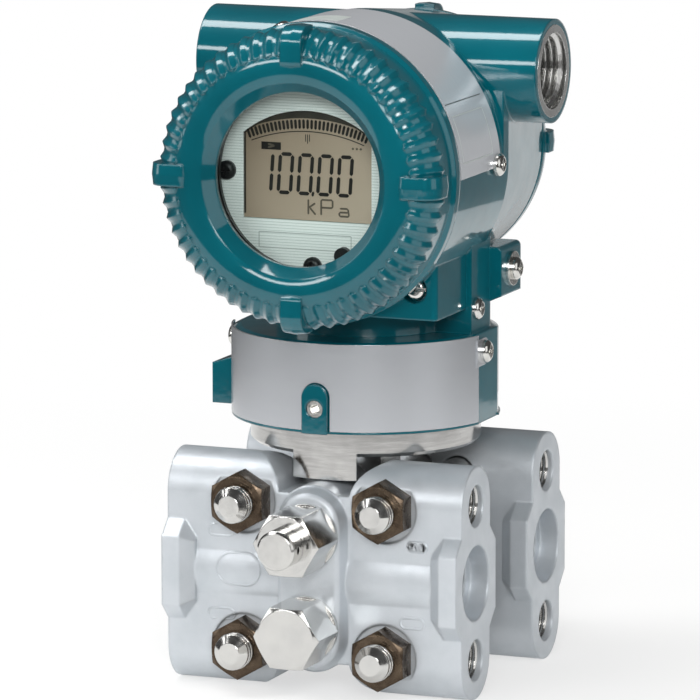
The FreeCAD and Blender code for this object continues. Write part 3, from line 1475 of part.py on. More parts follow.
# covers
keep(make_indicator_cover(), make_terminal_cover())
gasket_level, glass_level, retainer_level = glass_levels()
keep(make_cover_disc("window_gasket", gasket_level, "glass_gasket", "glass_radius", "window_radius"))
keep(make_cover_disc("window_glass", glass_level, "glass_thickness", "glass_radius"))
keep(make_cover_disc("window_retainer", retainer_level, "retainer_thickness", "glass_radius",
                     "window_radius + retainer_step"))
keep(make_ring("indicator_cover_seal", "XY_Plane",
               "front_spigot_radius + cover_gap + seal_section + seal_lift",
               "-(%s + cover_seal_back)" % cover_rear, "seal_section"))
keep(make_ring("terminal_cover_seal", "XY_Plane", "rear_thread_radius - cover_gap - seal_section - seal_lift",
               "barrel_back - rear_seal_in", "seal_section"))

doc.recompute()
for item in doc.Objects:
    if "Invalid" in item.State or "Error" in item.State:
        raise RuntimeError("%s failed: %s" % (item.Label, item.State))
for node in nodes:
    if node.Shape.isNull() or not node.Shape.isValid() or not node.Shape.Solids:
        raise RuntimeError("%s has no sound solid" % node.Label)

os.makedirs("parts", exist_ok=True)
for node in nodes:
    node.Shape.exportStep("parts/%s.step" % node.Label)
print("%d nodes, %d solids" % (len(nodes), sum(len(node.Shape.Solids) for node in nodes)))
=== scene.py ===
import bmesh
import bpy
import json
import math
from mathutils import Matrix, Vector
from mathutils.bvhtree import BVHTree


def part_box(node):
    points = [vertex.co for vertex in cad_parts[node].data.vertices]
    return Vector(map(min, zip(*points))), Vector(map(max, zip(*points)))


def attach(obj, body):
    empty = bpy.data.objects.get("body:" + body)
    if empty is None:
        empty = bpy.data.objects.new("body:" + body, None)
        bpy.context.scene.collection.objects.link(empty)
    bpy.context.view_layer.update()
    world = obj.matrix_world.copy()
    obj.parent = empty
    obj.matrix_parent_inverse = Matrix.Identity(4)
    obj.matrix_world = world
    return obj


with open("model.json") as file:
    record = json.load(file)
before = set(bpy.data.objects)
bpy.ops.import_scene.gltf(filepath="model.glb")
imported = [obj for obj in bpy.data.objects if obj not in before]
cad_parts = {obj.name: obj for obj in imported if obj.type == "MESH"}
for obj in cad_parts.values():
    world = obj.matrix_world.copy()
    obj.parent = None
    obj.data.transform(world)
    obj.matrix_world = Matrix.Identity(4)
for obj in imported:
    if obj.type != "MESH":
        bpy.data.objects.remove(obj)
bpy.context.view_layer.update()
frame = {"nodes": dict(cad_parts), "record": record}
cad = frame["nodes"]
mm = 0.001
print("frame loaded:", len(cad), "CAD nodes")

# small helpers for colour, nodes and meshes


def linear(hexColour):
    channels = [int(hexColour[i:i + 2], 16) / 255 for i in (1, 3, 5)]
    return tuple(c / 12.92 if c <= 0.04045 else ((c + 0.055) / 1.055) ** 2.4 for c in channels) + (1.0,)


def addNode(tree, kind, inputs=None, **settings):
    made = tree.nodes.new(kind)
    for name, value in settings.items():
        setattr(made, name, value)
    for socket, value in (inputs or {}).items():
        if isinstance(value, bpy.types.NodeSocket):
            tree.links.new(value, made.inputs[socket])
        else:
            made.inputs[socket].default_value = value
    return made


def newMaterial(name):
    material = bpy.data.materials.new(name)
    material.use_nodes = True
    material.node_tree.nodes.clear()
    return material, material.node_tree


def showShader(tree, shader, name="BSDF"):
    addNode(tree, "ShaderNodeOutputMaterial", {"Surface": shader.outputs[name]})


def dress(material, *names):
    for name in names:
        for slot in cad[name].material_slots:
            slot.material = material


def place(tree, scale=(1, 1, 1)):
    spot = addNode(tree, "ShaderNodeTexCoord").outputs["Object"]
    return addNode(tree, "ShaderNodeMapping", {"Vector": spot, "Scale": scale}).outputs["Vector"]


def ramp(tree, factor, stops):
    made = addNode(tree, "ShaderNodeValToRGB", {"Fac": factor})
    band = made.color_ramp
    while len(band.elements) < len(stops):
        band.elements.new(0.5)
    for element, (position, colour) in zip(band.elements, stops):
        element.position = position
        element.color = linear(colour) if isinstance(colour, str) else (colour, colour, colour, 1)
    return made.outputs["Color"]


# materials, one function for each; blotch, grain and pitch sizes, edge radii and bump depths are in mm

bevelSamples = 6


def rounded(tree, radius):
    # cast and machined edges are never dead sharp, so they catch a thin light
    return addNode(tree, "ShaderNodeBevel", {"Radius": radius * mm}, samples=bevelSamples).outputs["Normal"]


def bumped(tree, height, distance, strength, normal=None):
    inputs = {"Height": height, "Distance": distance * mm, "Strength": strength}
    if normal is not None:
        inputs["Normal"] = normal
    return addNode(tree, "ShaderNodeBump", inputs).outputs["Normal"]


def noise(tree, vector, size, detail=3.0, roughness=0.5):
    # size is the width of one blotch in millimetres
    return addNode(tree, "ShaderNodeTexNoise", {"Vector": vector, "Scale": 1 / (size * mm), "Detail": detail,
                                                "Roughness": roughness}).outputs["Fac"]


def sums(tree, operation, *terms):
    return addNode(tree, "ShaderNodeMath", dict(enumerate(terms)), operation=operation).outputs["Value"]


def uneven(tree, factor, middle, less, more, low=0.3, high=0.7):
    # a roughness that wanders from middle - less to middle + more where the factor goes from low to high
    return ramp(tree, factor, [(low, middle - less), (high, middle + more)])


def showPrincipled(tree, tone, rough, normal=None, metallic=0.0):
    inputs = {"Base Color": tone, "Metallic": metallic, "Roughness": rough}
    if normal is not None:
        inputs["Normal"] = normal
    shader = addNode(tree, "ShaderNodeBsdfPrincipled", inputs)
    showShader(tree, shader)
    return shader


enamel = {"colour": "#015965", "deep": "#014D58", "toneSize": 30, "gloss": 0.33, "glossSize": 12,
          "peelSize": 2.4, "peelDepth": 0.04, "peelStrength": 0.3, "edgeRound": 0.7}


def makeEnamel():
    # die-cast aluminium under baked teal enamel: deep glossy colour with a faint orange peel
    material, tree = newMaterial("bakedTealEnamel")
    spot = place(tree)
    blotch = noise(tree, spot, enamel["toneSize"], 2)
    tone = ramp(tree, blotch, [(0.35, enamel["deep"]), (0.65, enamel["colour"])])
    peel = noise(tree, spot, enamel["peelSize"], 2)
    rough = uneven(tree, noise(tree, spot, enamel["glossSize"], 3), enamel["gloss"], 0.04, 0.06)
    edge = rounded(tree, enamel["edgeRound"])
    normal = bumped(tree, peel, enamel["peelDepth"], enamel["peelStrength"], edge)
    shader = showPrincipled(tree, tone, rough, normal)
    shader.inputs["Specular IOR Level"].default_value = 0.3
    shader.inputs["Specular Tint"].default_value = linear("#2FB7C6")
    shader.inputs["Coat Weight"].default_value = 1.0
    shader.inputs["Coat Roughness"].default_value = 0.06
    shader.inputs["Coat IOR"].default_value = 1.58
    tree.links.new(normal, shader.inputs["Coat Normal"])
    return material


castSteel = {"colour": "#C9CED3", "dull": "#C1C7CC", "toneSize": 9, "metallic": 0.55, "roughness": 0.42,
             "roughSize": 5, "grain": 0.5, "grainDepth": 0.08, "grainStrength": 0.4, "edgeRound": 1.0}


def makeCastSteel():
    # investment-cast stainless steel, bead blasted: pale, even and slightly grainy
    material, tree = newMaterial("blastedCastStainless")
    spot = place(tree)
    blotch = noise(tree, spot, castSteel["toneSize"], 5, 0.6)
    tone = ramp(tree, blotch, [(0.3, castSteel["dull"]), (0.6, castSteel["colour"])])
    grain = noise(tree, spot, castSteel["grain"], 4, 0.65)
    rough = uneven(tree, noise(tree, spot, castSteel["roughSize"], 3), castSteel["roughness"], 0.05, 0.08)
    edge = rounded(tree, castSteel["edgeRound"])
    normal = bumped(tree, grain, castSteel["grainDepth"], castSteel["grainStrength"], edge)
    showPrincipled(tree, tone, rough, normal, castSteel["metallic"])
    return material


turnedSteel = {"colour": "#D2D1CE", "dull": "#CAC9C7", "toneSize": 7, "roughness": 0.14, "groovePitch": 0.6,
               "grooveDepth": 0.008, "grooveStrength": 0.25, "edgeRound": 0.3}


def makeTurnedSteel(name, colour, roughness, scale):
    # bar stock turned on a lathe: bright, with faint tool rings
    material, tree = newMaterial(name)
    grooves = noise(tree, place(tree, scale), turnedSteel["groovePitch"], 3, 0.6)
    blotch = noise(tree, place(tree), turnedSteel["toneSize"], 2)
    tone = ramp(tree, blotch, [(0.3, turnedSteel["dull"]), (0.6, colour)])
    rough = uneven(tree, grooves, roughness, 0.04, 0.06)
    edge = rounded(tree, turnedSteel["edgeRound"])
    normal = bumped(tree, grooves, turnedSteel["grooveDepth"], turnedSteel["grooveStrength"], edge)
    showPrincipled(tree, tone, rough, normal, 1.0)
    return material


brushedSheet = {"colour": "#D3D6DA", "dark": "#CFD2D7", "roughness": 0.25, "brushPitch": 0.28,
                "brushDepth": 0.002, "brushStrength": 0.06, "edgeRound": 0.12}


def makeBrushedSheet(name, scale, metallic):
    # cold-rolled stainless sheet with a satin brush running round the bend
    material, tree = newMaterial(name)
    brush = noise(tree, place(tree, scale), brushedSheet["brushPitch"], 4, 0.7)
    tone = ramp(tree, brush, [(0.3, brushedSheet["dark"]), (0.7, brushedSheet["colour"])])
    rough = uneven(tree, brush, brushedSheet["roughness"], 0.02, 0.02, 0.25, 0.75)
    edge = rounded(tree, brushedSheet["edgeRound"])
    normal = bumped(tree, brush, brushedSheet["brushDepth"], brushedSheet["brushStrength"], edge)
    showPrincipled(tree, tone, rough, normal, metallic)
    return material


nutSteel = {"colour": "#3A2F26", "light": "#665849", "toneSize": 4.5, "metallic": 0.85, "roughness": 0.25,
            "roughSize": 2.5, "grain": 0.7, "grainDepth": 0.02, "grainStrength": 0.3, "edgeRound": 0.45}


def makeNutSteel():
    # heavy hexagon nuts in chromium-molybdenum steel, oiled and browned
    material, tree = newMaterial("brownedAlloySteel")
    spot = place(tree)
    blotch = noise(tree, spot, nutSteel["toneSize"], 4, 0.6)
    tone = ramp(tree, blotch, [(0.3, nutSteel["colour"]), (0.72, nutSteel["light"])])
    rough = uneven(tree, noise(tree, spot, nutSteel["roughSize"], 3), nutSteel["roughness"], 0.08, 0.12)
    grain = noise(tree, spot, nutSteel["grain"], 3)
    edge = rounded(tree, nutSteel["edgeRound"])
    normal = bumped(tree, grain, nutSteel["grainDepth"], nutSteel["grainStrength"], edge)
    showPrincipled(tree, tone, rough, normal, nutSteel["metallic"])
    return material


screwSteel = {"colour": "#D9D8D4", "roughness": 0.16, "roughSize": 1.2, "grain": 0.6, "grainDepth": 0.015,
              "grainStrength": 0.4, "edgeRound": 0.25}


def makeScrewSteel():
    # nickel-plated screws: bright, with faint handling blotches
    material, tree = newMaterial("nickelPlatedSteel")
    spot = place(tree)
    rough = uneven(tree, noise(tree, spot, screwSteel["roughSize"], 3), screwSteel["roughness"], 0.06, 0.12)
    grain = noise(tree, spot, screwSteel["grain"], 3)
    edge = rounded(tree, screwSteel["edgeRound"])
    normal = bumped(tree, grain, screwSteel["grainDepth"], screwSteel["grainStrength"], edge)
    showPrincipled(tree, linear(screwSteel["colour"]), rough, normal, 1.0)
    return material


moulding = {"toneSize": 5, "roughSize": 2, "grain": 0.5, "grainDepth": 0.03, "grainStrength": 0.5}


def makeMoulding(name, dark, light, roughness):
    # injection-moulded plastic, rubber or a printed film: fine even grain
    material, tree = newMaterial(name)
    spot = place(tree)
    tone = ramp(tree, noise(tree, spot, moulding["toneSize"], 3), [(0.3, dark), (0.7, light)])
    rough = uneven(tree, noise(tree, spot, moulding["roughSize"], 2), roughness, 0.05, 0.06)
    grain = noise(tree, spot, moulding["grain"], 2)
    normal = bumped(tree, grain, moulding["grainDepth"], moulding["grainStrength"])
    showPrincipled(tree, tone, rough, normal)
    return material


window = {"shine": "#FFFFFF", "clear": "#F8FCFB", "smooth": 0.01, "wiped": 0.03, "smearSize": 9}


def makeGlass():
    # toughened borosilicate disc: almost clear, seen by its reflections
    material, tree = newMaterial("toughenedWindowGlass")
    smear = noise(tree, place(tree), window["smearSize"], 2)
    rough = ramp(tree, smear, [(0.3, window["smooth"]), (0.7, window["wiped"])])
    shine = addNode(tree, "ShaderNodeBsdfGlossy", {"Color": linear(window["shine"]), "Roughness": rough})
    clear = addNode(tree, "ShaderNodeBsdfTransparent", {"Color": linear(window["clear"])})
    edge = addNode(tree, "ShaderNodeFresnel", {"IOR": 1.35})
    mix = addNode(tree, "ShaderNodeMixShader", {0: edge.outputs["Fac"], 1: clear.outputs["BSDF"],
                                                2: shine.outputs["BSDF"]})
    showShader(tree, mix, "Shader")
    return material


plate = {"paper": "#FAFBF9", "line": "#D6DCD9", "linePitch": 0.75, "matt": 0.42, "inked": 0.34}


def makeBezelPlate():
    # screen-printed aluminium face plate: silver white with fine level pinstripes
    material, tree = newMaterial("pinstripedAluminiumPlate")
    spot = addNode(tree, "ShaderNodeTexCoord").outputs["Object"]
    height = addNode(tree, "ShaderNodeSeparateXYZ", {"Vector": spot}).outputs["Z"]
    lines = sums(tree, "SINE", sums(tree, "MULTIPLY", height, 2 * math.pi / (plate["linePitch"] * mm)))
    tone = ramp(tree, lines, [(0.0, plate["paper"]), (0.55, plate["paper"]), (0.85, plate["line"])])
    rough = ramp(tree, lines, [(0.0, plate["matt"]), (0.6, plate["inked"])])
    showPrincipled(tree, tone, rough)
    return material


# slope is the panel's x less its height, in metres, from the painted shade at its upper left to the painted
# light at its lower right
lcd = {"paintedShade": "#8F7A66", "light": "#C6B19E", "slopeFirst": -0.175, "slopeLast": -0.112, "roughness": 0.34,
       "grain": 0.4, "grainDepth": 0.01, "grainStrength": 0.3,
       "ink": "#120D09", "faint": "#5A5044", "paintedShadow": "#3B342B", "paintedShadowDeep": "#2B251E"}


def makeLcd():
    # reflective liquid-crystal panel: warm grey film, with painted shade at its upper left lightening to
    # painted light at its lower right
    material, tree = newMaterial("reflectiveLcdFilm")
    spot = addNode(tree, "ShaderNodeTexCoord").outputs["Object"]
    parts = addNode(tree, "ShaderNodeSeparateXYZ", {"Vector": spot})
    slope = sums(tree, "SUBTRACT", parts.outputs["X"], parts.outputs["Z"])
    share = addNode(tree, "ShaderNodeMapRange", {"Value": slope, "From Min": lcd["slopeFirst"],
                                                 "From Max": lcd["slopeLast"]})
    # painted shade and light: the film's tone runs from the shaded colour to the lit colour across the panel
    tone = ramp(tree, share.outputs["Result"], [(0.0, lcd["paintedShade"]), (1.0, lcd["light"])])
    normal = bumped(tree, noise(tree, spot, lcd["grain"], 2), lcd["grainDepth"], lcd["grainStrength"])
    shader = showPrincipled(tree, tone, lcd["roughness"], normal)
    shader.inputs["Coat Weight"].default_value = 0.2
    shader.inputs["Coat Roughness"].default_value = 0.12
    return material


tealEnamel = makeEnamel()
flangeSteel = makeCastSteel()
# the neck's turned stainless is darker than the other turned steel: painted shade for its place under the
# skirt
neckSteelPaintedShade = makeTurnedSteel("turnedStainlessNeckShaded", "#BDBCBA", 0.13, (0.06, 0.06, 1))
plugSteel = makeTurnedSteel("turnedStainlessBar", turnedSteel["colour"], turnedSteel["roughness"],
                            (0.2, 1, 0.2))
bandSteel = makeBrushedSheet("brushedStainlessBand", (0.02, 0.02, 1), 0.78)
plateSteel = makeBrushedSheet("brushedStainlessPlate", (0.02, 1, 0.02), 0.4)
brownSteel = makeNutSteel()
nickelSteel = makeScrewSteel()
glass = makeGlass()
bezelPlate = makeBezelPlate()
lcdFilm = makeLcd()
blackMoulding = makeMoulding("blackMouldedAbs", "#0E0F10", "#191A1C", 0.4)
nitrileRubber = makeMoulding("nitrileRubber", "#101010", "#1B1B1B", 0.7)
circuitGreen = makeMoulding("solderMaskedLaminate", "#14502B", "#1C6A3A", 0.38)
turnedBrass = makeTurnedSteel("turnedBrass", "#C8A24E", 0.3, (0.3, 1, 0.3))
gasketWhite = makeMoulding("ptfeGasket", "#DCDCD6", "#EDEDE8", 0.6)
boredMetal = makeTurnedSteel("machinedAluminiumBore", "#DADAD8", 0.24, (1, 0.05, 0.05))
inkFilm = makeMoulding("liquidCrystalInk", lcd["ink"], lcd["ink"], 0.4)
faintInk = makeMoulding("liquidCrystalFaintInk", lcd["faint"], lcd["faint"], 0.4)
# painted shadow laid on the panel under the edges of the opening
paintedShadowFilm = makeMoulding("displayPaintedShadow", lcd["paintedShadow"], lcd["paintedShadowDeep"], 0.45)
printInk = makeMoulding("greyPlateInk", "#A9B0AD", "#B4BAB7", 0.5)
darkPrint = makeMoulding("darkPlateInk", "#4E5252", "#5B5F5F", 0.5)

dress(tealEnamel, "housing", "indicator_cover", "terminal_cover")
dress(flangeSteel, "front_flange", "rear_flange")
dress(neckSteelPaintedShade, "capsule_body", "front_diaphragm", "rear_diaphragm")
dress(plugSteel, "vent_plugs", "drain_plugs", "front_vent_screw", "rear_vent_screw", "flange_bolts")
dress(brownSteel, "flange_nuts")
dress(bandSteel, "tag_band")
dress(plateSteel, "nameplate")
dress(nickelSteel, "swivel_set_screw", "conduit_plug", "band_screws", "nameplate_screws", "pedestal_screw",
      "earth_washer", "earth_screw", "zero_adjust_screw", "terminal_screws", "internal_earth_screw",
      "sensor_header")
dress(glass, "window_glass")
dress(bezelPlate, "display_bezel")
dress(lcdFilm, "lcd_panel")
dress(blackMoulding, "window_retainer", "display_case", "display_screws", "range_button", "terminal_block")
dress(nitrileRubber, "window_gasket", "neck_seal", "indicator_cover_seal", "terminal_cover_seal")
dress(circuitGreen, "cpu_board")
dress(turnedBrass, "board_standoffs", "display_standoffs", "feedthrough")
dress(gasketWhite, "front_capsule_gasket", "rear_capsule_gasket")
print("materials on CAD nodes")

# pieces that the CAD leaves to this script


weldDistance = 0.0005


def finishPiece(name, shape, material, body):
    bmesh.ops.remove_doubles(shape, verts=shape.verts, dist=weldDistance * mm)
    bmesh.ops.recalc_face_normals(shape, faces=shape.faces)
    data = bpy.data.meshes.new(name)
    shape.to_mesh(data)
    shape.free()
    piece = bpy.data.objects.new(name, data)
    bpy.context.scene.collection.objects.link(piece)
    data.materials.append(material)
    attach(piece, body)


def mountOf(name):
    return next(mount for mount in frame["record"]["mounts"] if mount["name"] == name)


# crest and root widths are shares of the pitch, and bite is in mm
thread = {"turnSteps": 30, "crest": 0.12, "root": 0.92, "bite": 0.03}


def helix(shape, centre, axis, radius, height, pitch, length, outward):
    # one ridge of three sides swept round the axis, a pitch at a time
    axis, side = Vector(axis), Vector(axis).orthogonal().normalized()
    inner = radius - thread["bite"] if outward else radius + thread["bite"]
    crest = radius + height if outward else radius - height
    corners = [(inner, -thread["root"] / 2), (crest, -thread["crest"] / 2), (crest, thread["crest"] / 2),
               (inner, thread["root"] / 2)]
    points = [shape.verts.new(Vector(centre) + side * reach * mm + axis * share * pitch * mm)
              for reach, share in corners]
    face = shape.faces.new(points)
    turns = length / pitch
    steps = round(turns * thread["turnSteps"])
    advance = axis * length * mm / steps
    bmesh.ops.spin(shape, geom=[face] + list(face.edges) + points, cent=Vector(centre), axis=axis,
                   dvec=advance, angle=2 * math.pi * turns, steps=steps, use_duplicate=False)


entry = {"pitch": 1.814, "height": 0.95, "faceReach": 2.1, "lift": 0.05, "start": 0.9, "short": 3.0,
         "wallIn": 0.06, "wallOut": 0.01, "threadIn": 0.05, "steps": 96}


def makeConduitEntry():
    # the mouth is machined after painting, so its face, wall and thread are bare metal
    mount = mountOf("conduit_entry")
    middle, radius, length = Vector(mount["pos_m"]), mount["dims"]["r_mm"], mount["dims"]["length_mm"]
    mouth, inside = middle.x + length / 2 * mm, middle.x - length / 2 * mm
    lift = entry["lift"] * mm
    shape = bmesh.new()
    outer, wall, bore = radius + entry["faceReach"], radius - entry["wallIn"], radius - entry["wallOut"]
    section = [(mouth, outer), (mouth + lift, outer), (mouth + lift, wall), (inside + lift, wall),
               (inside + lift, bore), (mouth, bore)]
    points = [shape.verts.new((x, middle.y, middle.z + reach * mm)) for x, reach in section]
    face = shape.faces.new(points)
    edges = list(face.edges)
    bmesh.ops.delete(shape, geom=[face], context="FACES_ONLY")
    bmesh.ops.spin(shape, geom=edges + points, cent=middle, axis=(1, 0, 0), angle=2 * math.pi,
                   steps=entry["steps"], use_merge=True)
    start = Vector((mouth - entry["start"] * mm, middle.y, middle.z))
    helix(shape, start, (-1, 0, 0), radius - entry["threadIn"], entry["height"], entry["pitch"],
          length - entry["short"], False)
    finishPiece("conduitThread", shape, boredMetal, "head")


port = {"pitch": 1.411, "height": 0.75, "studPitch": 1.27, "studHeight": 0.6, "studDepth": 13.0}


def makeFlangeThreads():
    bolts = mountOf("process_bolts")
    face, size = Vector(bolts["pos_m"]), bolts["dims"]
    shape = bmesh.new()
    for across in (-1, 1):
        for up in (-1, 1):
            start = face + Vector((-port["studPitch"] * mm, across * size["spacing_x_mm"] / 2 * mm,
                                   up * size["spacing_y_mm"] / 2 * mm))
            helix(shape, start, (-1, 0, 0), size["hole_r_mm"], port["studHeight"], port["studPitch"],
                  port["studDepth"] - 2 * port["studPitch"], False)
    finishPiece("studThreads", shape, plugSteel, "pressure_section")
    shape = bmesh.new()
    for name in ("front_process_port", "rear_process_port"):
        mount = mountOf(name)
        length = mount["dims"]["length_mm"]
        start = Vector(mount["pos_m"]) + Vector(((length / 2 - port["pitch"]) * mm, 0, 0))
        helix(shape, start, (-1, 0, 0), mount["dims"]["r_mm"], port["height"], port["pitch"],
              length - 2 * port["pitch"], False)
    finishPiece("portThreads", shape, plugSteel, "pressure_section")


bolt = {"radius": 4.76, "spanWide": 39.8, "spanHigh": 39.4, "pitch": 1.5875, "height": 0.22, "dome": 1.6}


def makeBoltThreads():
    ports = mountOf("front_process_port")["pos_m"][2]
    nutFace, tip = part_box("flange_nuts")[0][1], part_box("flange_bolts")[0][1]
    length = (nutFace - tip) / mm - bolt["dome"] - bolt["pitch"] / 2
    shape = bmesh.new()
    for across in (-1, 1):
        for up in (-1, 1):
            start = Vector((across * bolt["spanWide"] / 2 * mm, nutFace,
                            ports + up * bolt["spanHigh"] / 2 * mm))
            helix(shape, start, (0, -1, 0), bolt["radius"], bolt["height"], bolt["pitch"], length, True)
    finishPiece("boltThreads", shape, plugSteel, "pressure_section")


makeConduitEntry()
makeFlangeThreads()
makeBoltThreads()
print("threads")

# each spot is its x, height from the port, half length and end radius
castMark = {"width": 0.42, "proud": 0.28, "sunk": 0.06, "segments": 48, "crownShare": 0.35,
            "spots": [(-21.0, 1.2, 1.9, 4.3), (-26.2, 11.2, 2.2, 1.5), (-26.4, -11.3, 2.2, 1.5),
                      (29.2, 10.6, 1.4, 1.3), (27.8, -9.9, 1.9, 1.4)]}


def makeCastMarks():
    # raised oval outlines, left empty, as the pattern leaves them on both flanges
    level = mountOf("front_process_port")["pos_m"][2]
    surface = BVHTree.FromObject(cad["front_flange"], bpy.context.evaluated_depsgraph_get())
    sunk, proud, crown = -castMark["sunk"], castMark["proud"], castMark["crownShare"]
    upright = Matrix.Rotation(math.radians(90), 4, "X")
    shape = bmesh.new()
    for x, height, half, radius in castMark["spots"]:
        spot = Matrix.Translation((x * mm, 0, level + height * mm)) @ upright
        rings = []
        for step, lift in ((-1, sunk), (-crown, proud), (crown, proud), (1, sunk)):
            made = bmesh.ops.create_circle(shape, segments=castMark["segments"], matrix=spot,
                                           radius=(radius + step * castMark["width"]) * mm)
            for vertex in made["verts"]:
                vertex.co.x += math.copysign(half * mm, vertex.co.x - x * mm)
                hit = surface.ray_cast(Vector((vertex.co.x, -0.2, vertex.co.z)), Vector((0, 1, 0)))[0]
                vertex.co.y = hit.y - lift * mm
            rings.append([edge for edge in shape.edges if all(end in made["verts"] for end in edge.verts)])
        for first, second in zip(rings, rings[1:]):
            bmesh.ops.bridge_loops(shape, edges=first + second)
    bmesh.ops.duplicate(shape, geom=shape.verts[:] + shape.edges[:] + shape.faces[:])
    copies = shape.verts[len(shape.verts) // 2:]
    bmesh.ops.rotate(shape, verts=copies, cent=(0, 0, 0), matrix=Matrix.Rotation(math.pi, 3, "Z"))
    finishPiece("castMarks", shape, flangeSteel, "pressure_section")


makeCastMarks()
print("cast marks")

# the panel's face lies on the LCD, and every place on it is measured from the head's axis
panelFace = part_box("lcd_panel")[0][1]
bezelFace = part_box("display_bezel")[0][1]
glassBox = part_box("window_glass")
headAxis = (glassBox[0][2] + glassBox[1][2]) / 2 / mm
opening = {"left": -19.6, "right": 16.2, "low": -12.2, "high": 10.1, "crown": 16.5}
inkThickness = 0.04


def slab(shape, corners, face, thickness):
    # a flat printed shape: corners are (x, height above the axis) in mm
    points = [shape.verts.new((x * mm, face, (headAxis + z) * mm)) for x, z in corners]
    made = bmesh.ops.extrude_face_region(shape, geom=[shape.faces.new(points)])
    moved = [item for item in made["geom"] if isinstance(item, bmesh.types.BMVert)]
    bmesh.ops.translate(shape, verts=moved, vec=(0, -thickness * mm, 0))


def stroke(shape, start, end, width, face, thickness=inkThickness):
    start, end = Vector(start), Vector(end)
    along = (end - start).normalized() * width / 2
    across = Vector((-along.y, along.x))
    slab(shape, [start, start + along + across, end - along + across, end, end - along - across,
                 start + along - across], face, thickness)


# lit names the segments of each place, for 100.00, and the point stands after the third
digit = {"low": -5.2, "high": 4.9, "halfWidth": 1.72, "pitch": 5.57, "first": -13.85, "slant": 0.07,
         "width": 0.98, "gap": 0.16, "lit": ("bc", "abcdef", "abcdef", "abcdef", "abcdef"),
         "pointShift": -0.35, "pointWidth": 0.7}


def leaned(x, z):
    return (x + (z - digit["low"]) * digit["slant"], z)


def makeReading():
    shape = bmesh.new()
    low, high = digit["low"], digit["high"]
    middle = (low + high) / 2
    for number, lit in enumerate(digit["lit"]):
        centre = digit["first"] + number * digit["pitch"]
        left, right = centre - digit["halfWidth"], centre + digit["halfWidth"]
        gap = digit["gap"]
        ends = {"a": ((left + gap, high), (right - gap, high)),
                "b": ((right, high - gap), (right, middle + gap)),
                "c": ((right, middle - gap), (right, low + gap)),
                "d": ((left + gap, low), (right - gap, low)),
                "e": ((left, middle - gap), (left, low + gap)),
                "f": ((left, high - gap), (left, middle + gap))}
        for name in lit:
            start, end = ends[name]
            stroke(shape, leaned(*start), leaned(*end), digit["width"], panelFace)
    point = digit["first"] + 2.5 * digit["pitch"] + digit["pointShift"]
    stroke(shape, (point + 0.2, low + 0.7), (point - 0.1, low - 0.75), digit["pointWidth"], panelFace)
    finishPiece("lcdReading", shape, inkFilm, "head")


unitMark = {"low": -10.7, "high": -6.6, "width": 0.5}


def makeUnit():
    # the unit, kPa, in thin strokes as such panels write it
    shape = bmesh.new()
    low, high = unitMark["low"], unitMark["high"]
    middle = (low + high) / 2
    letterK = [((-1.5, high), (-1.5, low)), ((-1.5, middle - 0.3), (0.5, middle + 1.1)),
               ((-1.1, middle - 0.2), (0.6, low))]
    letterP = [((2.1, high), (2.1, low)), ((2.1, high), (5.3, high)), ((5.3, high), (5.3, middle)),
               ((5.3, middle), (2.1, middle))]
    letterA = [((7.3, middle), (9.6, middle)), ((9.6, middle), (9.9, low)), ((7.2, low), (9.9, low)),
               ((7.2, middle - 1.0), (7.2, low)), ((7.2, middle - 1.0), (9.6, middle - 1.0))]
    for start, end in letterK + letterP + letterA:
        stroke(shape, start, end, unitMark["width"], panelFace)
    finishPiece("lcdUnit", shape, faintInk, "head")


# the middle mark below the bar graph is three short lines, the middle one longer
scale = {"centre": (-1.6, -32.05), "inner": 43.3, "tickLow": 43.75, "tickHigh": 46.4, "ticks": 31,
         "first": -21.6, "last": 21.4, "tickWidth": 0.72, "lineWidth": 0.26, "lineSteps": 24,
         "markX": -1.7, "markHigh": 10.4, "markLow": 8.4, "markTip": 7.9, "markPitch": 0.55,
         "markWidth": 0.22}


def polar(angle, radius):
    centre = scale["centre"]
    turn = math.radians(angle)
    return (centre[0] + radius * math.sin(turn), centre[1] + radius * math.cos(turn))


def makeBarGraph():
    shape = bmesh.new()
    span = scale["last"] - scale["first"]
    for number in range(scale["ticks"]):
        angle = scale["first"] + span * number / (scale["ticks"] - 1)
        low, high = polar(angle, scale["tickLow"]), polar(angle, scale["tickHigh"])
        stroke(shape, low, high, scale["tickWidth"], panelFace)
    outer, inner = scale["inner"], scale["inner"] - scale["lineWidth"]
    steps = scale["lineSteps"]
    angles = [scale["first"] + span * step / steps for step in range(steps + 1)]
    for first, second in zip(angles, angles[1:]):
        slab(shape, [polar(first, outer), polar(second, outer), polar(second, inner), polar(first, inner)],
             panelFace, inkThickness)
    for side, low in ((-1, scale["markLow"]), (0, scale["markTip"]), (1, scale["markLow"])):
        x = scale["markX"] + side * scale["markPitch"]
        stroke(shape, (x, scale["markHigh"]), (x, low), scale["markWidth"], panelFace)
    finishPiece("lcdBarGraph", shape, inkFilm, "head")


icon = {"left": -14.7, "right": -9.2, "low": 5.9, "high": 7.9, "arrowTail": -12.9, "arrowTip": -10.9,
        "arrowWidth": 0.5, "arrowThick": 0.07, "dots": (10.6, 11.7, 12.8), "dotHeight": 7.2,
        "dotLength": 0.8, "dotWidth": 0.7}


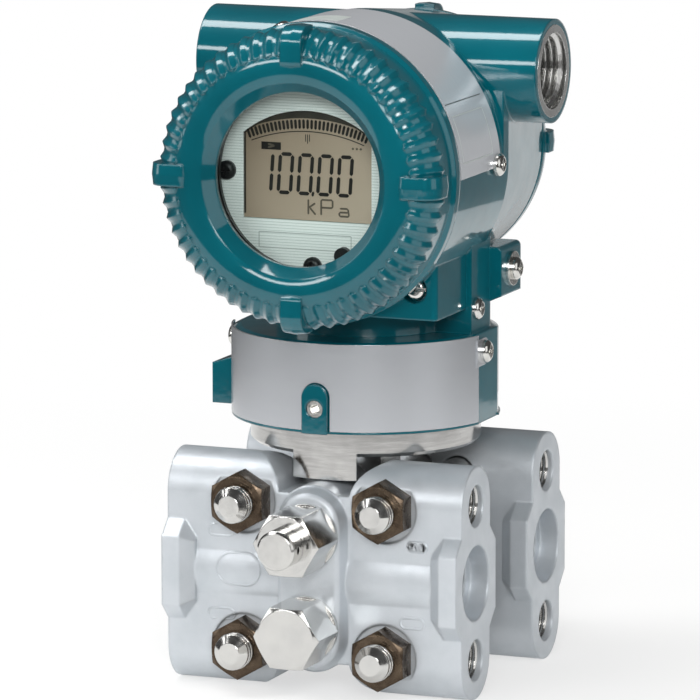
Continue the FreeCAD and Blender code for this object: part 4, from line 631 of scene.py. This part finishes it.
def makeIcons():
    # a dark block with an arrow head in it, and three faint dots on the right
    shape = bmesh.new()
    left, right, low, high = icon["left"], icon["right"], icon["low"], icon["high"]
    middle = (low + high) / 2
    slab(shape, [(left, low), (right, low), (right, high), (left, high)], panelFace, inkThickness)
    finishPiece("lcdBusyIcon", shape, inkFilm, "head")
    shape = bmesh.new()
    tail, tip = icon["arrowTail"], icon["arrowTip"]
    for start, end in ((-0.45, 0.05), (0.5, 0)):
        stroke(shape, (tail, middle + start), (tip, middle + end), icon["arrowWidth"], panelFace,
               icon["arrowThick"])
    for left in icon["dots"]:
        stroke(shape, (left, icon["dotHeight"]), (left + icon["dotLength"], icon["dotHeight"]),
               icon["dotWidth"], panelFace)
    finishPiece("lcdFaintIcons", shape, faintInk, "head")


# the strip is painted shadow along the crown and the left side of the opening
shadeStrip = {"segments": 28, "crownRadius": 28.2, "sideWidth": 0.55, "tickGap": 0.2, "least": 0.5,
              "proud": 0.02, "thickness": 0.019}


def makeDisplayShade():
    # painted shadow: a dark sheet where the crown and the left edge of the opening cast shade; it follows
    # the crown of the opening and runs down its left side
    shape = bmesh.new()
    left, right = opening["left"], opening["right"]
    centre = (left + right) / 2
    crownRadius, proud = shadeStrip["crownRadius"], shadeStrip["proud"]
    ticksX, ticksZ = scale["centre"]
    tickRadius = scale["tickHigh"] + shadeStrip["tickGap"]
    bmesh.ops.create_grid(shape, x_segments=shadeStrip["segments"], y_segments=1, size=1)
    for vertex in shape.verts:
        upper = vertex.co.y > 0
        x = centre + vertex.co.x * (right - left) / 2
        crown = opening["crown"] - crownRadius + math.sqrt(crownRadius ** 2 - (x - centre) ** 2)
        inner = ticksZ + math.sqrt(tickRadius ** 2 - (x - ticksX) ** 2)
        z = crown if upper else min(inner, crown - shadeStrip["least"])
        vertex.co = (x * mm, panelFace - proud * mm, (headAxis + z) * mm)
    made = bmesh.ops.extrude_face_region(shape, geom=list(shape.faces))
    moved = [item for item in made["geom"] if isinstance(item, bmesh.types.BMVert)]
    bmesh.ops.translate(shape, verts=moved, vec=(0, shadeStrip["thickness"] * mm, 0))
    foot, side = opening["low"] + 1, left + shadeStrip["sideWidth"]
    slab(shape, [(left, foot), (side, foot), (side, opening["high"]), (left, opening["high"])],
         panelFace, proud)
    finishPiece("lcdShade", shape, paintedShadowFilm, "head")


field = {"left": -15.3, "right": 10.6, "high": -15.8, "low": -19.9, "line": 0.22, "thickness": 0.02}


def makePlateField():
    # an empty outlined field, printed where such plates carry a name
    shape = bmesh.new()
    left, right, low, high = field["left"], field["right"], field["low"], field["high"]
    for start, end in (((left, high), (right, high)), ((left, low), (right, low)),
                       ((left, low), (left, high)), ((right, low), (right, high))):
        stroke(shape, start, end, field["line"], bezelFace, field["thickness"])
    finishPiece("plateField", shape, printInk, "head")


# widths and reaches along the barrel in mm, and places round it in degrees
label = {"width": 0.26, "thick": 0.03, "near": 2.2, "far": 23.5, "dividerNear": 0.8, "dividerPast": 3,
         "divider": 29.0, "tintFirst": 84.0, "tintLast": 104.0, "boxFirst": 6.0, "boxLast": 24.0,
         "stepTurn": 3}


def arcStrip(shape, radius, near, far, first, last):
    # a thin print that follows the barrel: near and far run along it, first and last go round it
    turn = math.radians(first)
    outer = radius + label["thick"]
    corners = []
    for reach, along in ((radius, near), (outer, near), (outer, far), (radius, far)):
        corners.append(shape.verts.new((reach * math.cos(turn) * mm, along * mm,
                                        (headAxis + reach * math.sin(turn)) * mm)))
    face = shape.faces.new(corners)
    steps = max(1, round(abs(last - first) / label["stepTurn"]))
    bmesh.ops.spin(shape, geom=[face] + list(face.edges) + corners, cent=(0, 0, headAxis * mm),
                   axis=(0, -1, 0), angle=math.radians(last - first), steps=steps, use_duplicate=False)


def makePlatePrint():
    # an empty form: a tinted block, a divider and a blank frame below it
    plateLow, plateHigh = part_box("nameplate")
    radius, front = plateHigh[2] / mm - headAxis, plateLow[1] / mm
    near, far, width = front + label["near"], front + label["far"], label["width"]
    thin = math.degrees(width / radius)
    shape = bmesh.new()
    for along in (near, far):
        arcStrip(shape, radius, along, along + width, label["boxFirst"], label["boxLast"])
    for angle in (label["boxFirst"], label["boxLast"]):
        arcStrip(shape, radius, near, far + width, angle - thin, angle)
    finishPiece("plateRules", shape, printInk, "head")
    shape = bmesh.new()
    arcStrip(shape, radius, front + label["dividerNear"], far + label["dividerPast"],
             label["divider"] - thin, label["divider"])
    finishPiece("plateDivider", shape, darkPrint, "head")
    shape = bmesh.new()
    arcStrip(shape, radius, near + width, (near + far) / 2, label["tintFirst"], label["tintLast"])
    finishPiece("plateTint", shape, printInk, "head")


makePlatePrint()
makeReading()
makeUnit()
makeBarGraph()
makeIcons()
makeDisplayShade()
makePlateField()
print("display")

# stage, light and camera

# room and floor levels are shares of full white
studio = {"floorColour": "#F4F4F3", "white": "#FFFFFF", "floorRadius": 0.43, "floorEven": 0.12,
          "floorGlow": 0.60, "floorDim": 0.30, "roomFront": 0.06, "roomUpper": 0.16, "roomDiffuse": 0.38,
          "lampAim": (0, 0, 0.09)}
# place, width and height in metres, and power in watts
lamps = {"topSoftbox": {"at": (-0.33, -0.10, 1.08), "power": 7.5, "width": 0.26, "height": 1.0},
         "frontStrip": {"at": (-0.80, -1.95, 0.95), "power": 10.0, "width": 1.2, "height": 0.28},
         "rightSoftbox": {"at": (1.25, -0.30, 0.50), "power": 2.8, "width": 0.8, "height": 1.0},
         "frontSoftbox": {"at": (0.50, -1.25, 0.72), "power": 6.5, "width": 0.6, "height": 0.5},
         "axisSoftbox": {"at": (0.62, -1.45, 0.62), "power": 5.0, "width": 0.35, "height": 0.35},
         "leftFill": {"at": (-1.10, -0.45, 0.50), "power": 2.6, "width": 0.4, "height": 0.8}}
# angles in degrees, distance and target in metres, lens in millimetres
camera = {"azimuth": 21.71, "elevation": 9.65, "distance": 1.6738, "lens": 322.0,
          "target": (-0.0046, 0, 0.0860)}


def shownRays(tree):
    # the rays that see the white backdrop: the camera's own, and those off metal and through glass
    path = addNode(tree, "ShaderNodeLightPath")
    seen = sums(tree, "MAXIMUM", path.outputs["Is Camera Ray"], path.outputs["Is Glossy Ray"])
    return sums(tree, "MAXIMUM", seen, path.outputs["Is Transmission Ray"])


def makeFloor():
    data = bpy.data.meshes.new("studioFloor")
    shape = bmesh.new()
    bmesh.ops.create_circle(shape, cap_ends=True, segments=96, radius=studio["floorRadius"])
    shape.to_mesh(data)
    shape.free()
    floor = bpy.data.objects.new("studioFloor", data)
    bpy.context.scene.collection.objects.link(floor)
    material, tree = newMaterial("paleStudioFloor")
    matte = addNode(tree, "ShaderNodeBsdfDiffuse", {"Color": linear(studio["floorColour"])})
    white = addNode(tree, "ShaderNodeEmission", {"Color": linear(studio["white"]), "Strength": 1.0})
    spot = addNode(tree, "ShaderNodeTexCoord").outputs["Object"]
    reach = addNode(tree, "ShaderNodeVectorMath", {0: spot}, operation="LENGTH").outputs["Value"]
    # the floor whitens towards its rim, where it meets the white backdrop
    near = addNode(tree, "ShaderNodeMapRange", {"Value": reach, "From Min": studio["floorEven"],
                                                "From Max": studio["floorRadius"],
                                                "To Min": studio["floorGlow"]})
    # bright work sees a dimmer floor than the camera does
    path = addNode(tree, "ShaderNodeLightPath")
    dimmer = sums(tree, "MULTIPLY", path.outputs["Is Glossy Ray"], studio["floorDim"])
    seen = sums(tree, "SUBTRACT", near.outputs["Result"], dimmer)
    share = sums(tree, "MULTIPLY", shownRays(tree), seen)
    mix = addNode(tree, "ShaderNodeMixShader", {0: share, 1: matte.outputs["BSDF"],
                                                2: white.outputs["Emission"]})
    showShader(tree, mix, "Shader")
    data.materials.append(material)


def makeWorld():
    world = bpy.data.worlds.new("studioRoom")
    bpy.context.scene.world = world
    world.use_nodes = True
    tree = world.node_tree
    tree.nodes.clear()
    spot = addNode(tree, "ShaderNodeTexCoord").outputs["Generated"]
    parts = addNode(tree, "ShaderNodeSeparateXYZ", {"Vector": spot})
    # white sweep low behind the object, and a dim room elsewhere
    behind = addNode(tree, "ShaderNodeMapRange", {"Value": parts.outputs["Y"],
                                                  "From Min": 0.92, "From Max": 0.985})
    low = addNode(tree, "ShaderNodeMapRange", {"Value": parts.outputs["Z"],
                                               "From Min": 0.02, "From Max": 0.14,
                                               "To Min": 1.0, "To Max": studio["roomUpper"]})
    sweep = sums(tree, "MULTIPLY", behind.outputs["Result"], low.outputs["Result"])
    share = sums(tree, "MULTIPLY", sweep, 1 - studio["roomFront"])
    room = sums(tree, "ADD", studio["roomFront"], share)
    path = addNode(tree, "ShaderNodeLightPath")
    level = sums(tree, "MAXIMUM", room, path.outputs["Is Camera Ray"])
    white = linear(studio["white"])
    shown = addNode(tree, "ShaderNodeBackground", {"Color": white, "Strength": level})
    fill = addNode(tree, "ShaderNodeBackground", {"Color": white, "Strength": studio["roomDiffuse"]})
    mix = addNode(tree, "ShaderNodeMixShader", {0: shownRays(tree), 1: fill.outputs["Background"],
                                                2: shown.outputs["Background"]})
    addNode(tree, "ShaderNodeOutputWorld", {"Surface": mix.outputs["Shader"]})


def makeLamp(name, at, power, width, height):
    data = bpy.data.lights.new(name, "AREA")
    data.shape = "RECTANGLE"
    data.size, data.size_y = width, height
    data.energy = power
    lamp = bpy.data.objects.new(name, data)
    lamp.location = at
    toObject = Vector(studio["lampAim"]) - Vector(at)
    lamp.rotation_euler = toObject.to_track_quat("-Z", "Y").to_euler()
    bpy.context.scene.collection.objects.link(lamp)


def makeCamera():
    data = bpy.data.cameras.new("catalogueCamera")
    data.lens, data.sensor_width = camera["lens"], 36
    data.clip_end = 50
    rig = bpy.data.objects.new("catalogueCamera", data)
    azimuth, elevation = math.radians(camera["azimuth"]), math.radians(camera["elevation"])
    target = Vector(camera["target"])
    away = Vector((math.sin(azimuth) * math.cos(elevation), -math.cos(azimuth) * math.cos(elevation),
                   math.sin(elevation)))
    rig.location = target + away * camera["distance"]
    rig.rotation_euler = (-away).to_track_quat("-Z", "Y").to_euler()
    bpy.context.scene.collection.objects.link(rig)
    bpy.context.scene.camera = rig


makeFloor()
makeWorld()
for name, lamp in lamps.items():
    makeLamp(name, **lamp)
makeCamera()
bpy.context.scene.view_settings.view_transform = "Standard"
print("stage, light and camera")
